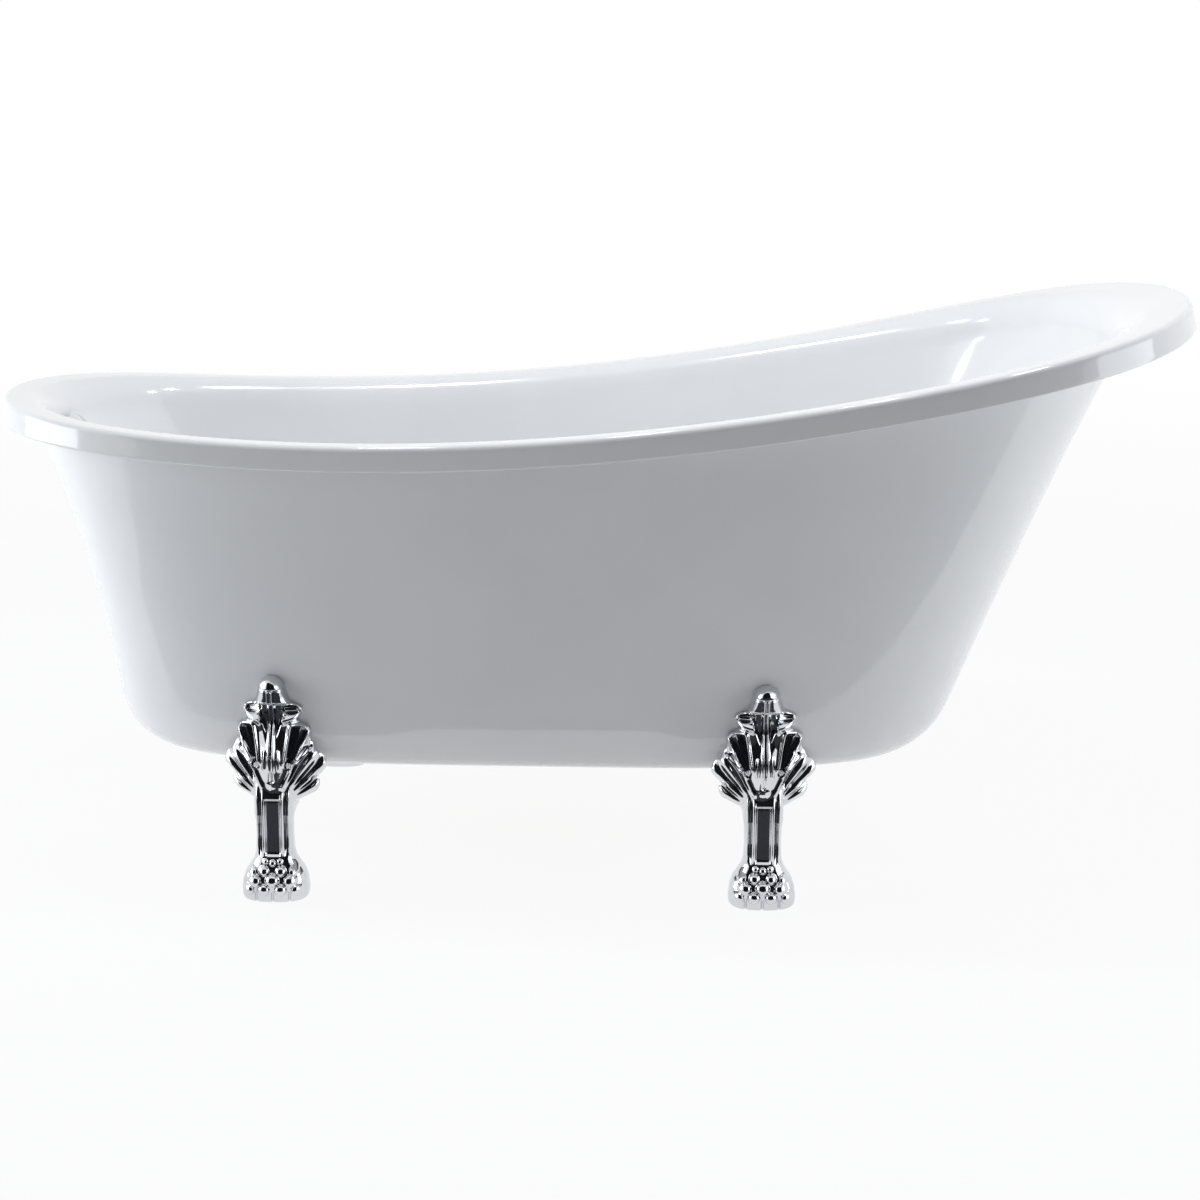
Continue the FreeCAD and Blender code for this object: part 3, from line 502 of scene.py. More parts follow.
@dataclass(frozen=True)
class Wall:
    """The wall of the well or of the apron, from the rim down to a flat bottom."""

    outline: TubOutline
    inset: Triple
    centre: float
    half_length: float
    half_width: float
    square: float
    flare: Pair
    corner: Pair
    bottom: float
    depth: float
    under: float = 0.0

    def grown(self, thickness: float) -> "Wall":
        """The same wall moved outwards and down by a thickness.

        Args:
            thickness: how far it moves, negative for inwards.

        Returns:
            The new wall.
        """
        low, side, head = self.inset
        up, along = self.corner
        return Wall(self.outline, (low - thickness, side - thickness, head - thickness), self.centre,
                    self.half_length + thickness, self.half_width + thickness, self.square, self.flare,
                    (up + thickness / 2, along + thickness / 2), self.bottom - thickness, self.depth,
                    self.under)

    def upper(self, angle: np.ndarray) -> np.ndarray:
        """Top edge of the wall: at a set depth, or just under the rim's underside.

        Args:
            angle: position round the tub.

        Returns:
            One ring of points.
        """
        inward = by_end(self.inset, angle)
        if not self.under:
            return self.outline.point(angle, inward, self.depth)
        return self.outline.point(angle, inward, rim_underside(angle, inward + self.under) + APRON_AIR)

    def oval(self, angle: np.ndarray, inward: float = 0.0) -> np.ndarray:
        """Squared oval |x/a|^n + |y/b|^n = 1 at the wall's foot.

        Args:
            angle: position round the tub.
            inward: how far it is drawn in evenly.

        Returns:
            One ring of points.
        """
        x = self.centre + (self.half_length - inward) * signed_power(np.cos(angle), 2 / self.square)
        y = (self.half_width - inward) * signed_power(np.sin(angle), 2 / self.square)
        return np.stack([x, y, np.full_like(x, self.bottom)], -1)

    def point(self, angle: np.ndarray, share: np.ndarray | float) -> np.ndarray:
        """Points on the wall, from 0 at its foot to 1 at the rim.

        The plan runs straight from the oval to the rim, less a bend that grows with the cube of the
        share, which flares the wall near its top.

        Args:
            angle: position round the tub.
            share: how far up the wall.

        Returns:
            One ring of points.
        """
        high, low = self.upper(angle), self.oval(angle)
        low_end, head_end = self.flare
        bend = low_end + (head_end - low_end) * (1 + np.cos(angle)) / 2
        out = (1 - bend) * share + bend * share ** 3
        out = np.broadcast_to(out, angle.shape)
        share = np.broadcast_to(share, angle.shape)
        return low + (high - low) * np.stack([out, out, share], -1)

    def corner_share(self, angle: np.ndarray) -> np.ndarray:
        """Share at which the wall leaves the corner blend."""
        return self.corner[0] / (self.upper(angle)[:, 2] - self.bottom)

    def corner_point(self, angle: np.ndarray, share: float) -> np.ndarray:
        """Rational quadratic curve from the flat bottom to the wall, with middle weight 0.8.

        Args:
            angle: position round the tub.
            share: 0 at the flat bottom, 1 at the wall.

        Returns:
            One ring of points.
        """
        flat = self.oval(angle, self.corner[1])
        start = self.point(angle, self.corner_share(angle))
        first, middle, last = (1 - share) ** 2, 1.6 * share * (1 - share), share ** 2
        return (flat * first + self.oval(angle) * middle + start * last) / (first + middle + last)

    def rings(self, angle: np.ndarray, corner_rows: int, wall_rows: int) -> list[np.ndarray]:
        """Rings from the flat bottom up to the rim.

        Args:
            angle: positions round the tub.
            corner_rows: steps over the corner.
            wall_rows: steps up the wall.

        Returns:
            The rings.
        """
        rings = [self.corner_point(angle, share) for share in np.linspace(0, 1, corner_rows + 1)]
        start = self.corner_share(angle)
        for share in np.linspace(0, 1, wall_rows + 1)[1:]:
            rings.append(self.point(angle, start + (1 - start) * share))
        return rings

    def out_at(self, x: np.ndarray, z: float) -> np.ndarray:
        """Distance of the wall from the middle plane.

        Args:
            x: places along the tub.
            z: their height.

        Returns:
            The distance at each place.
        """
        angle = np.linspace(0.02, np.pi - 0.02, 500)
        share = (max(z, self.bottom) - self.bottom) / (self.upper(angle)[:, 2] - self.bottom)
        line = self.point(angle, share)
        return np.interp(x, line[::-1, 0], line[::-1, 1])


FOOT_X = {"low": -376.0, "high": 224.0}
OUTLINE = TubOutline()
APRON_WALL = Wall(OUTLINE, (28.2 * MM, 26.0 * MM, 82.6 * MM), -74.0 * MM, 517.0 * MM, 242.5 * MM, 3.85,
                  (0.38, 0.064), (72.0 * MM, 64.0 * MM), 151.0 * MM, 0.0, 4.0 * MM)
WELL_WALL = Wall(OUTLINE, WELL_INSET, -62.0 * MM, 455.0 * MM, 200.0 * MM, 3.0,
                 (0.20, 0.05), (95.0 * MM, 70.0 * MM), 197.9 * MM, ROLL_DEPTH)


@dataclass
class Basin:
    """The formed shell: well, rolled rim and outer band."""

    wall: Wall = WELL_WALL
    shell: float = SHELL
    edge: float = 7.0 * MM
    drain: Pair = (-395.0 * MM, 25.5 * MM)
    columns: int = 288
    lip: float = 1.2 * MM

    def roll(self, angle: np.ndarray, share: float, thickness: float = 0.0) -> np.ndarray:
        """The roll from the rim's flat top into the well.

        Its section is an ellipse: inward grows with sin(turn) and depth with 1 - cos(turn).

        Args:
            angle: position round the tub.
            share: 0 at the flat top, 1 at the well's wall.
            thickness: distance under the surface, along its normal.

        Returns:
            One ring of points.
        """
        edge = by_end(self.wall.inset, angle)
        width = ROLL_SHARE * edge
        turn = ROLL_TURN * share
        inward = edge - width + width * np.sin(turn) / np.sin(ROLL_TURN)
        down = self.wall.depth * (1 - np.cos(turn)) / (1 - np.cos(ROLL_TURN))
        return self.wall.outline.point(angle, inward - thickness * np.sin(turn),
                                       down + thickness * np.cos(turn))

    def rings(self) -> np.ndarray:
        """All rings, from the drain hole over the well's floor and the rim to the underside.

        Returns:
            The rings, as rows of points.
        """
        angle = np.arange(self.columns) * TAU / self.columns
        rings = self.floor_rings(angle, self.wall)
        rings += self.wall.rings(angle, 12, 26)[:-1]
        rings += [self.roll(angle, share) for share in np.linspace(1, 0, 13)]
        point, band = self.wall.outline.point, self.wall.outline.band
        for share in (0.66, 0.33):
            flat_inward = (1 - ROLL_SHARE) * by_end(self.wall.inset, angle)
            rings.append(point(angle, self.edge + (flat_inward - self.edge) * share, 0.0))
        for turn in np.linspace(0, np.pi / 2, 9):
            rings.append(point(angle, self.edge * (1 - np.sin(turn)), self.edge * (1 - np.cos(turn))))
        for down in (0.5 * band, band - 3 * self.lip, band - self.lip):
            rings.append(point(angle, 0.0, down))
        lip, shell = self.lip, self.shell
        for inward, down in ((0.3 * lip, band - 0.3 * lip), (lip, band), (shell - 0.2 * lip, band),
                             (shell, band - 0.2 * lip), (shell, 0.6 * band), (shell, shell)):
            rings.append(point(angle, inward, down))
        rings += [self.roll(angle, share, self.shell) for share in np.linspace(0, 1, 9)[:-1]]
        under = self.wall.grown(self.shell)
        rings += under.rings(angle, 8, 14)[::-1]
        rings += self.floor_rings(angle, under)[::-1]
        return np.array(rings)

    def floor_rings(self, angle: np.ndarray, wall: Wall) -> list[np.ndarray]:
        """Rings from the drain hole's circle out to the edge of the flat floor, blended evenly.

        Args:
            angle: positions round the tub.
            wall: the wall that the floor meets.

        Returns:
            The rings.
        """
        x, radius = self.drain
        hole = np.stack([x + radius * np.cos(angle), radius * np.sin(angle),
                         np.full_like(angle, wall.bottom)], -1)
        flat = wall.oval(angle, wall.corner[1])
        return [hole + (flat - hole) * share for share in (0.0, 0.02, 0.08, 0.2, 0.4, 0.65, 0.88)]

    def build(self, finishes: Finishes) -> bpy.types.Object:
        """Make the basin, dress it and put it in place of its CAD node.

        Args:
            finishes: the finishes to use.

        Returns:
            The piece.
        """
        piece = mesh_object("basin_surface", [closed_grid(self.rings(), wrap_rows=True)])
        finishes.dress(piece, "acrylic")
        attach(piece, "tub")
        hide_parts("basin")
        return piece


@dataclass
class Apron:
    """The outer shell, with a flat flange turned in under the tub."""

    wall: Wall = APRON_WALL
    skin: float = 4.0 * MM
    flange: float = 68.0 * MM
    columns: int = 288
    edge: float = 1.2 * MM

    def rings(self) -> np.ndarray:
        """All rings: in along the flange, up the outside, over the top edge and down inside.

        Returns:
            The rings, as rows of points.
        """
        angle = np.arange(self.columns) * TAU / self.columns
        inner = self.wall.grown(-self.skin)
        opening = self.wall.corner[1] + self.flange
        lift = np.array((0.0, 0.0, 0.3 * self.skin))
        inmost = self.wall.oval(angle, opening)
        rings = [inmost + lift, self.wall.oval(angle, opening - self.edge)]
        rings += self.wall.rings(angle, 14, 30)
        rings += inner.rings(angle, 8, 12)[::-1]
        rings += [inmost + np.array((0.0, 0.0, self.skin))]
        return np.array(rings)

    def build(self, finishes: Finishes) -> bpy.types.Object:
        """Make the apron, dress it and put it in place of its CAD node.

        Args:
            finishes: the finishes to use.

        Returns:
            The piece.
        """
        piece = mesh_object("apron_surface", [closed_grid(self.rings(), wrap_rows=True)])
        finishes.dress(piece, "acrylic")
        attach(piece, "tub")
        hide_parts("apron")
        return piece


# ---------------- waste and overflow

def domed(radius: float, low: float, rim: float, height: float, bore: float) -> list[Pair]:
    """Profile of a domed cap: a flat underside, an upright rim and a quarter of an ellipse.

    Args:
        radius: outside radius.
        low: height of the underside.
        rim: height of the rim.
        height: height of the dome over the rim.
        bore: radius of the hole in its middle.

    Returns:
        Corners as (radius, height).
    """
    turn = np.linspace(0.06, np.arccos(bore / radius), 14)
    dome_points = zip(radius * np.cos(turn), low + rim + height * np.sin(turn))
    return [(bore, low), (radius, low), (radius, low + rim)] + [(float(r), float(z)) for r, z in dome_points]


@dataclass
class Fittings:
    """Overflow cover, plug and drain flange, with true domes where the solids have flats."""

    overflow: Triple = (-664.48 * MM, 0.0, 527.0 * MM)
    overflow_axis: Triple = (0.86504, 0.0, 0.50171)
    drain: Triple = (-395.0 * MM, 0.0, 0.0)
    flange_low: float = 197.9 * MM
    tube_end: float = 171.9 * MM
    cap_low: float = 202.8 * MM
    post_end: float = 178.2 * MM
    post: float = 4.0 * MM
    # Inner and outer radius of the drain's tube, and of the part of the flange whose top slopes.
    tube: Pair = (21.0 * MM, 23.0 * MM)
    slope: Pair = (25.0 * MM, 35.0 * MM)
    flange: float = 3.0 * MM
    bar_half: float = 2.0 * MM
    # Radius at which a turned profile closes on its axis.
    closed: float = 0.02 * MM

    def flange_profile(self) -> list[Pair]:
        """Tube and flange, whose top falls to its edge as a quarter of an ellipse.

        Returns:
            Corners as (radius, height).
        """
        share = np.linspace(0.0, 0.98, 12)
        radius = self.slope[0] + (self.slope[1] - self.slope[0]) * share
        height = self.flange_low + self.flange * np.sqrt(1 - share ** 2)
        top = [(float(r), float(z)) for r, z in zip(radius, height)]
        bore, tube = self.tube
        return [(bore, self.tube_end), (tube, self.tube_end), (tube, self.flange_low),
                (self.slope[1], self.flange_low)] + top[::-1] + [(bore, self.flange_low + self.flange)]

    def bar(self, along: int) -> Surface:
        """One bar of the strainer's cross, a squared oval in section.

        Args:
            along: 0 for a bar along x, 1 for one along y.

        Returns:
            Vertices and faces, in metres.
        """
        around = np.arange(24) * TAU / 24
        c, s = (self.bar_half * signed_power(wave, 0.3) for wave in (np.cos(around), np.sin(around)))
        ends = np.array((-22.0, -7.5, 7.5, 22.0))[:, None] * MM
        across = [ends + 0 * c, c + 0 * ends]
        x, y = across if along == 0 else across[::-1]
        rings = np.stack([x, y, s + self.tube_end + self.bar_half + 0 * ends], -1) + self.drain
        return closed_grid(rings, wrap_rows=False)

    def show(self, name: str, parts: list[Surface], node: str, body: str,
             finishes: Finishes) -> bpy.types.Object:
        """Make a fitting, dress it and put it in place of its CAD node.

        Args:
            name: name of the piece.
            parts: its closed surfaces.
            node: the CAD node that it replaces.
            body: the body that it moves with.
            finishes: the finishes to use.

        Returns:
            The piece.
        """
        piece = mesh_object(name, parts)
        finishes.dress(piece, "chromed_brass")
        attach(piece, body)
        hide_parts(node)
        return piece

    def build(self, finishes: Finishes) -> list[bpy.types.Object]:
        """Make the cover, the plug and the flange.

        Args:
            finishes: the finishes to use.

        Returns:
            The three pieces.
        """
        drain, up = Vector(self.drain), Vector((0.0, 0.0, 1.0))
        cover = turned(domed(35.0 * MM, 6.0 * MM, 2.0 * MM, 8.0 * MM, 3.05 * MM), Vector(self.overflow),
                       Vector(self.overflow_axis).normalized())
        cap = turned(domed(32.0 * MM, self.cap_low, 2.0 * MM, 5.0 * MM, self.closed), drain, up)
        post = turned([(self.closed, self.post_end), (self.post, self.post_end), (self.post, self.cap_low),
                       (self.closed, self.cap_low)], drain, up)
        flange = turned(self.flange_profile(), drain, up)
        return [self.show("overflow_cover_dome", [cover], "overflow_cover", "tub", finishes),
                self.show("plug_cap", [cap, post], "plug", "plug", finishes),
                self.show("drain_flange_turned", [flange, self.bar(0), self.bar(1)], "drain_flange", "tub",
                          finishes)]


# ---------------- claw feet

def gentle(rows: np.ndarray, table: tuple[tuple[float, ...], ...], column: int, blur: float) -> np.ndarray:
    """Read a table of sizes at even rows, with its corners rounded.

    Straight lines between the table's rows are averaged with Gaussian weights exp(-(d / blur)^2 / 2).

    Args:
        rows: heights, evenly spaced.
        table: rows that start with a height.
        column: which size to read.
        blur: spread of the average, in millimetres.

    Returns:
        The size at each height.
    """
    known = np.array(table)
    step = rows[1] - rows[0]
    reach = int(3 * blur / step) + 1
    weights = np.exp(-((np.arange(-reach, reach + 1) * step / blur) ** 2) / 2)
    sizes = np.pad(np.interp(rows, known[:, 0], known[:, column]), reach, "edge")
    return np.convolve(sizes, weights / weights.sum(), "valid")


def bell(value: np.ndarray, middle: float, spread: float) -> np.ndarray:
    """A bell curve, exp(-((value - middle) / spread)^2)."""
    return np.exp(-((value - middle) / spread) ** 2)


def window(value: np.ndarray, rise: Pair, fall: Pair) -> np.ndarray:
    """A smooth step up over one span and down again over another."""
    return smooth_step(value, *rise) * (1 - smooth_step(value, *fall))


@dataclass(frozen=True)
class Ridge:
    """A rounded ridge along a straight line, or a trough where its height is negative."""

    start: Pair
    end: Pair
    widths: Pair
    height: float

    def relief(self, x: np.ndarray, z: np.ndarray) -> np.ndarray:
        """Height of the form at each point.

        With s the share of the way along the line and t the distance from it in half-widths, which
        run evenly from the first width to the second, the form is height * exp(-t^2) * ends(s),
        where ends rises over the first eighth of the line and falls over the last.

        Args:
            x: distance from the foot's middle plane.
            z: height above the floor.

        Returns:
            The form's height, in millimetres.
        """
        run, climb = self.end[0] - self.start[0], self.end[1] - self.start[1]
        length = float(np.hypot(run, climb))
        along = ((x - self.start[0]) * run + (z - self.start[1]) * climb) / length ** 2
        across = ((x - self.start[0]) * climb - (z - self.start[1]) * run) / length
        width = self.widths[0] + (self.widths[1] - self.widths[0]) * np.clip(along, 0.0, 1.0)
        ends = window(along, (-0.06, 0.12), (0.88, 1.06))
        return self.height * bell(across / width, 0.0, 1.0) * ends


@dataclass(frozen=True)
class Dome:
    """The upper half of an ellipsoid, or a dish where its height is negative."""

    middle: Pair
    sizes: Pair
    height: float

    def relief(self, x: np.ndarray, z: np.ndarray) -> np.ndarray:
        """Height of the form, height * sqrt(1 - (dx / a)^2 - (dz / b)^2), and 0 outside it.

        Args:
            x: distance from the foot's middle plane.
            z: height above the floor.

        Returns:
            The height at each point.
        """
        across = (x - self.middle[0]) / self.sizes[0]
        inside = 1.0 - across ** 2 - ((z - self.middle[1]) / self.sizes[1]) ** 2
        return self.height * np.sqrt(np.clip(inside, 0.0, None))


@dataclass(frozen=True)
class FootShape:
    """Sizes of the cast foot in millimetres, in a frame whose x is 0 on the foot's middle plane."""

    # Outline from the sole up: height, half-width.
    outline: tuple[Pair, ...] = (
        (2.0, 38.5), (5.0, 41.0), (14.0, 41.5), (26.0, 40.0), (36.0, 36.5), (44.0, 31.0), (52.0, 26.0),
        (62.0, 23.6), (80.0, 22.8), (100.0, 23.2), (112.0, 25.0), (120.0, 29.0), (126.0, 38.0),
        (132.0, 50.0), (139.0, 54.5), (146.0, 55.0), (152.0, 52.5), (157.0, 58.0), (165.0, 64.0),
        (172.0, 64.5), (180.0, 60.0), (190.0, 51.5), (199.0, 46.0), (207.0, 46.0), (215.0, 46.5),
        (220.0, 43.0), (223.5, 34.0), (228.0, 33.0), (235.0, 36.5), (241.0, 38.0), (245.0, 34.0),
        (248.5, 23.0), (256.0, 20.0), (266.0, 17.0), (270.0, 17.0), (276.0, 13.5), (280.0, 7.5),
        (281.8, 2.0))
    # Shank and paw: height, half-depth, distance of the middle inward from the paw's middle.
    depth: tuple[Triple, ...] = (
        (2.0, 29.0, 0.0), (6.0, 30.5, 0.0), (24.0, 30.0, 0.0), (36.0, 27.5, 0.5), (46.0, 23.5, 1.0),
        (58.0, 20.5, 2.5), (80.0, 19.0, 4.0), (105.0, 18.5, 4.5), (126.0, 18.0, 5.0), (150.0, 12.0, 6.0),
        (168.0, 4.0, 8.0))
    shank_half: float = 24.5
    paw_out: float = 256.0
    paw_top: float = 64.0
    sole: float = 2.0
    top: float = 281.8
    softness: float = 1.2
    # Heights over which the leaf grows out of the shank, its back takes up the apron's curve, and
    # the shank ends behind it.
    leaf_grows: Pair = (106.0, 128.0)
    back_joins: Pair = (141.0, 150.0)
    shank_ends: Pair = (164.0, 182.0)
    leaf_edge: float = 5.5
    leaf_rise: float = 9.5
    fan_root: float = 112.0
    fan_fold: float = 12.5
    panel_half: float = 8.6
    panel_depth: float = 3.4
    leaf_forms: tuple[Ridge | Dome, ...] = (
        # Rib between the fan and the middle lobe.
        Ridge((10.0, 138.0), (40.0, 200.0), (3.0, 4.0), 4.0),
        # Middle lobe: a hollowed, pointed oval with a raised edge and a ball at its tip.
        Ridge((20.0, 168.0), (37.0, 219.0), (3.0, 9.5), -9.0),
        Ridge((22.0, 166.0), (46.0, 214.0), (2.2, 3.0), 6.5),
        Ridge((16.0, 172.0), (24.0, 224.0), (2.4, 3.0), 6.0),
        Ridge((24.0, 222.0), (43.0, 219.5), (2.4, 2.6), 4.5),
        Dome((42.5, 217.0), (4.2, 4.2), 5.0),
        # Slit between the middle lobe and the fan.
        Ridge((27.0, 176.0), (42.0, 193.0), (2.3, 3.0), -6.0),
        Ridge((30.0, 173.0), (46.0, 190.0), (1.8, 2.0), 3.6),
        Dome((25.5, 174.5), (3.2, 3.2), 4.0),
        # Upper lobe: a dish above a rolled lip, with a ball at its tip.
        Ridge((12.0, 227.0), (36.0, 231.0), (5.0, 4.5), 7.5),
        Dome((25.0, 241.0), (12.5, 6.6), -9.0),
        Ridge((18.0, 248.0), (36.5, 243.0), (1.8, 2.4), 4.0),
        Dome((34.5, 240.5), (4.0, 4.0), 5.0),
        # Veins beside the midrib and the drop-shaped slit below it.
        Ridge((9.5, 166.0), (8.0, 192.0), (1.4, 1.6), 3.0),
        Ridge((0.0, 150.0), (0.0, 166.0), (2.8, 1.6), -3.5))
    lens: Dome = Dome((0.0, 268.0), (19.0, 13.6), 11.0)
    # Knuckles: distance from the middle, height, radius.
    knuckles: tuple[Triple, ...] = (
        (0.0, 31.0, 8.4), (22.5, 30.0, 8.2), (10.5, 42.0, 6.2), (25.5, 41.0, 5.8), (10.5, 19.0, 7.6),
        (30.0, 18.0, 7.4), (0.0, 51.0, 4.0), (9.0, 52.5, 3.4))
    knuckle_rise: float = 0.85
    # Reeds and flutes of the shank: distance from the middle, spread, height.
    reeds: tuple[Triple, ...] = ((11.6, 2.0, 2.4), (15.8, 1.7, -2.6), (19.4, 1.8, 1.8))
    toe_grooves: tuple[float, ...] = (0.0, 20.5)


@dataclass
class ClawFoot:
    """One chromed casting: acanthus leaf, fluted shank, knuckles and toes, with its shelf."""

    node: str
    x: float
    side: int
    shape: FootShape = FootShape()
    shelf_top: float = 150.7
    shelf_toe: float = 118.0
    shelf_half: float = 27.0
    shelf: float = 8.0
    pad_recess: Pair = (21.0, 6.3)
    stem_bore: Pair = (5.05, 44.0)
    rows: int = 430
    columns: int = 131

    def leaf_relief(self, x: np.ndarray, z: np.ndarray, crown: np.ndarray) -> np.ndarray:
        """Height of the leaf's carved face over the apron, in millimetres.

        A crowned blade that flares out over the shank carries, on each half: the fan's folds, which
        are waves in the angle round the foot of the leaf; the forms of the lobes and slits; the
        midrib in its sunk channel; and the block and the lens of the cap.

        Args:
            x: distance from the midrib.
            z: height above the floor.
            crown: 1 on the midrib, falling to 0 at the leaf's edge.

        Returns:
            The height at each point.
        """
        shape = self.shape
        x = np.abs(x)
        height = shape.leaf_edge + shape.leaf_rise * crown
        height = height + 5.0 * window(z, (128.0, 150.0), (172.0, 215.0)) * crown
        height = height + 13.0 * window(z, (108.0, 128.0), (168.0, 232.0)) * bell(x, 0.0, 21.0)
        reach = np.hypot(x, z - shape.fan_root)
        bearing = np.degrees(np.arctan2(x, z - shape.fan_root))
        fan = smooth_step(reach, 26.0, 60.0) * smooth_step(bearing, 20.0, 30.0)
        fan = fan * (1 - smooth_step(z, 192.0, 206.0))
        height = height + 3.2 * fan * np.cos(TAU * (bearing - 35.0) / shape.fan_fold)
        height = height + sum(form.relief(x, z) for form in shape.leaf_forms)
        room = 5.0 + 10.0 * smooth_step(z, 196.0, 246.0)
        channel = window(z, (194.0, 226.0), (245.0, 249.0)) * (1 - smooth_step(x, room - 2.5, room + 2.5))
        midrib = window(z, (150.0, 196.0), (246.0, 252.0)) * bell(x, 2.6, 1.5)
        height = height + 4.5 * midrib - 6.5 * channel
        block = window(z, (246.5, 251.0), (265.0, 268.0)) * crown ** 0.3
        height = height + block * (7.0 + 2.0 * bell(x, 2.6, 1.2) - 2.0 * bell(x, 5.2, 1.1))
        return height + shape.lens.relief(x, z) * smooth_step(z, 266.4, 268.4)

    def shank_relief(self, x: np.ndarray, z: np.ndarray) -> np.ndarray:
        """Forward relief of the shank and the paw, in millimetres.

        The shank has reeds and flutes; the paw has staggered rows of round knuckles over four toes.

        Args:
            x: distance from the middle.
            z: height above the floor.

        Returns:
            Distance forward of the plain section.
        """
        shape = self.shape
        x = np.abs(x)
        fluted = window(z, (54.0, 70.0), (128.0, 150.0))
        relief = fluted * sum(height * bell(x, place, spread) for place, spread, height in shape.reeds)
        toes = 1 - smooth_step(z, 12.0, 22.0)
        for place in shape.toe_grooves:
            relief = relief - 3.6 * bell(x, place, 1.5) * toes
        for place, height, radius in shape.knuckles:
            knuckle = Dome((place, height), (radius, radius), shape.knuckle_rise * radius)
            relief = relief + knuckle.relief(x, z)
        return relief

    def wall(self, x: np.ndarray, z: np.ndarray) -> np.ndarray:
        """Distance of the apron's face from the tub's middle plane behind each point, in millimetres."""
        places = zip((self.x + x) * MM, z[:, 0] * MM)
        return np.array([APRON_WALL.out_at(row, height) for row, height in places]) / MM + AIR_MM

    def casting(self) -> Surface:
        """Leaf, shank and paw as one closed surface of level rings.

        In front, a ring is the soft maximum of the shank, a superellipse of power 2.6 with its
        relief, and of the leaf's face over the apron.  Behind, it is the shank's back and, above the
        shelf, the apron's own curve.  Rings of the stem's bore and the pad's recess close the sole.

        Returns:
            Vertices and faces, in metres.
        """
        shape = self.shape
        rows = np.linspace(shape.sole, shape.top, self.rows)
        half = gentle(rows, shape.outline, 1, 1.3)[:, None]
        deep = gentle(rows, shape.depth, 1, 4.0)[:, None]
        middle = shape.paw_out - gentle(rows, shape.depth, 2, 4.0)[:, None]
        u = np.sin(np.linspace(-np.pi / 2, np.pi / 2, self.columns))[None, :]
        x = half * u
        z = np.broadcast_to(rows[:, None], x.shape)
        shank = np.where(z < shape.paw_top, half, np.minimum(half, shape.shank_half))
        inside = np.clip(1 - np.abs(x / shank) ** 2.6, 0, None) ** (1 / 2.6)
        # Beyond the shank's sides and above its end, its front drops well behind the leaf's face.
        sunk = 40.0 * smooth_step(np.abs(x), shank + 0.1, shank + 1.5)
        sunk = sunk + 60.0 * smooth_step(z, *shape.shank_ends)
        front = middle + deep * inside + self.shank_relief(x, z) * smooth_step(inside, 0.0, 0.5) - sunk
        back = middle - deep * inside
        wall = self.wall(x, z)
        face = wall + self.leaf_relief(x, z, (1 - u * u) ** 0.8) * (1 - u ** 8) ** 0.5
        # Below the leaf its face drops behind the shank, so that the shank alone is left.
        face = face - 14.0 * (1 - smooth_step(z, *shape.leaf_grows)) - 200.0 * (z < shape.leaf_grows[0])
        gap = np.abs(front - face) / shape.softness
        front = np.maximum(front, face) + shape.softness * np.log1p(np.exp(-gap))
        panel = window(z, (56.0, 62.0), (127.0, 130.5))
        panel = panel * (1 - smooth_step(np.abs(x), shape.panel_half - 1.0, shape.panel_half + 1.0))
        front = front - shape.panel_depth * panel
        behind = back + (np.minimum(back, wall) - back) * smooth_step(z, 106.0, 114.0)
        behind = behind + (wall - behind) * smooth_step(z, *shape.back_joins)
        behind = np.minimum(behind, front - 0.05)
        rounding = 2.4 * np.clip(1 - (z - shape.sole) / 3.0, 0, 1) ** 2
        front, behind = front - rounding * (front > middle), behind + rounding
        every_fourth = slice(self.columns - 2, 0, -4)
        rings = np.concatenate([np.stack([x, -front, z], -1),
                                np.stack([x, -behind, z], -1)[:, every_fourth]], 1)
        rings = np.concatenate([self.sole_rings(rings[0]), rings])
        return self.placed(closed_grid(rings * MM, wrap_rows=False))

    def sole_rings(self, outer: np.ndarray) -> np.ndarray:
        """Circles of the stem's bore and the pad's recess.

        Args:
            outer: the sole's outline, whose points give each circle its bearings.

        Returns:
            The circles from the bore's end down to the sole, in millimetres.
        """
        bearing = np.arctan2(outer[:, 1] + self.shape.paw_out, outer[:, 0])
        circle = np.stack([np.cos(bearing), np.sin(bearing), np.zeros_like(bearing)], -1)
        recess, recess_top = self.pad_recess
        bore, bore_top = self.stem_bore
        steps = ((0.3, bore_top), (bore, bore_top), (bore, recess_top), (recess, recess_top),
                 (recess, self.shape.sole))
        return np.array([circle * radius + (0.0, -self.shape.paw_out, z) for radius, z in steps])

    def shelf_plate(self) -> Surface:
        """The shelf that carries the tub: a rounded bar along y, its section a squared oval.

        Returns:
            Vertices and faces, in metres.
        """
        around = np.arange(64) * TAU / 64
        c, s = signed_power(np.cos(around), 0.22), signed_power(np.sin(around), 0.22)
        share = np.array((0.9, 1.0, 1.0, 1.0))[:, None]
        out = np.array((self.shelf_toe, self.shelf_toe + 1.5, 190.0, 245.0))[:, None]
        x = c * self.shelf_half * (0.7 + 0.3 * share)
        z = self.shelf_top - self.shelf / 2 + s * self.shelf / 2 * share
        return self.placed(closed_grid(np.stack([x, -out + 0 * x, z], -1) * MM, wrap_rows=False))

    def placed(self, part: Surface) -> Surface:
        """Move a near-side part to this foot, mirrored with its faces for the far side.

        Args:
            part: vertices and faces of the near-side part.

        Returns:
            Vertices and faces in their place.
        """
        points, faces = part
        points = points * np.array((1.0, -float(self.side), 1.0)) + np.array((self.x * MM, 0.0, 0.0))
        return points, [face[::-1] for face in faces] if self.side > 0 else faces

    def build(self, finishes: Finishes) -> bpy.types.Object:
        """Make the foot, dress it and put it in place of its CAD node.

        Args:
            finishes: the finishes to use.

        Returns:
            The piece.
        """
        piece = mesh_object(self.node + "_casting", [self.casting(), self.shelf_plate()])
        finishes.dress(piece, "chromed_casting")
        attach(piece, "tub")
        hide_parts(self.node)
        return piece


# ---------------- studio

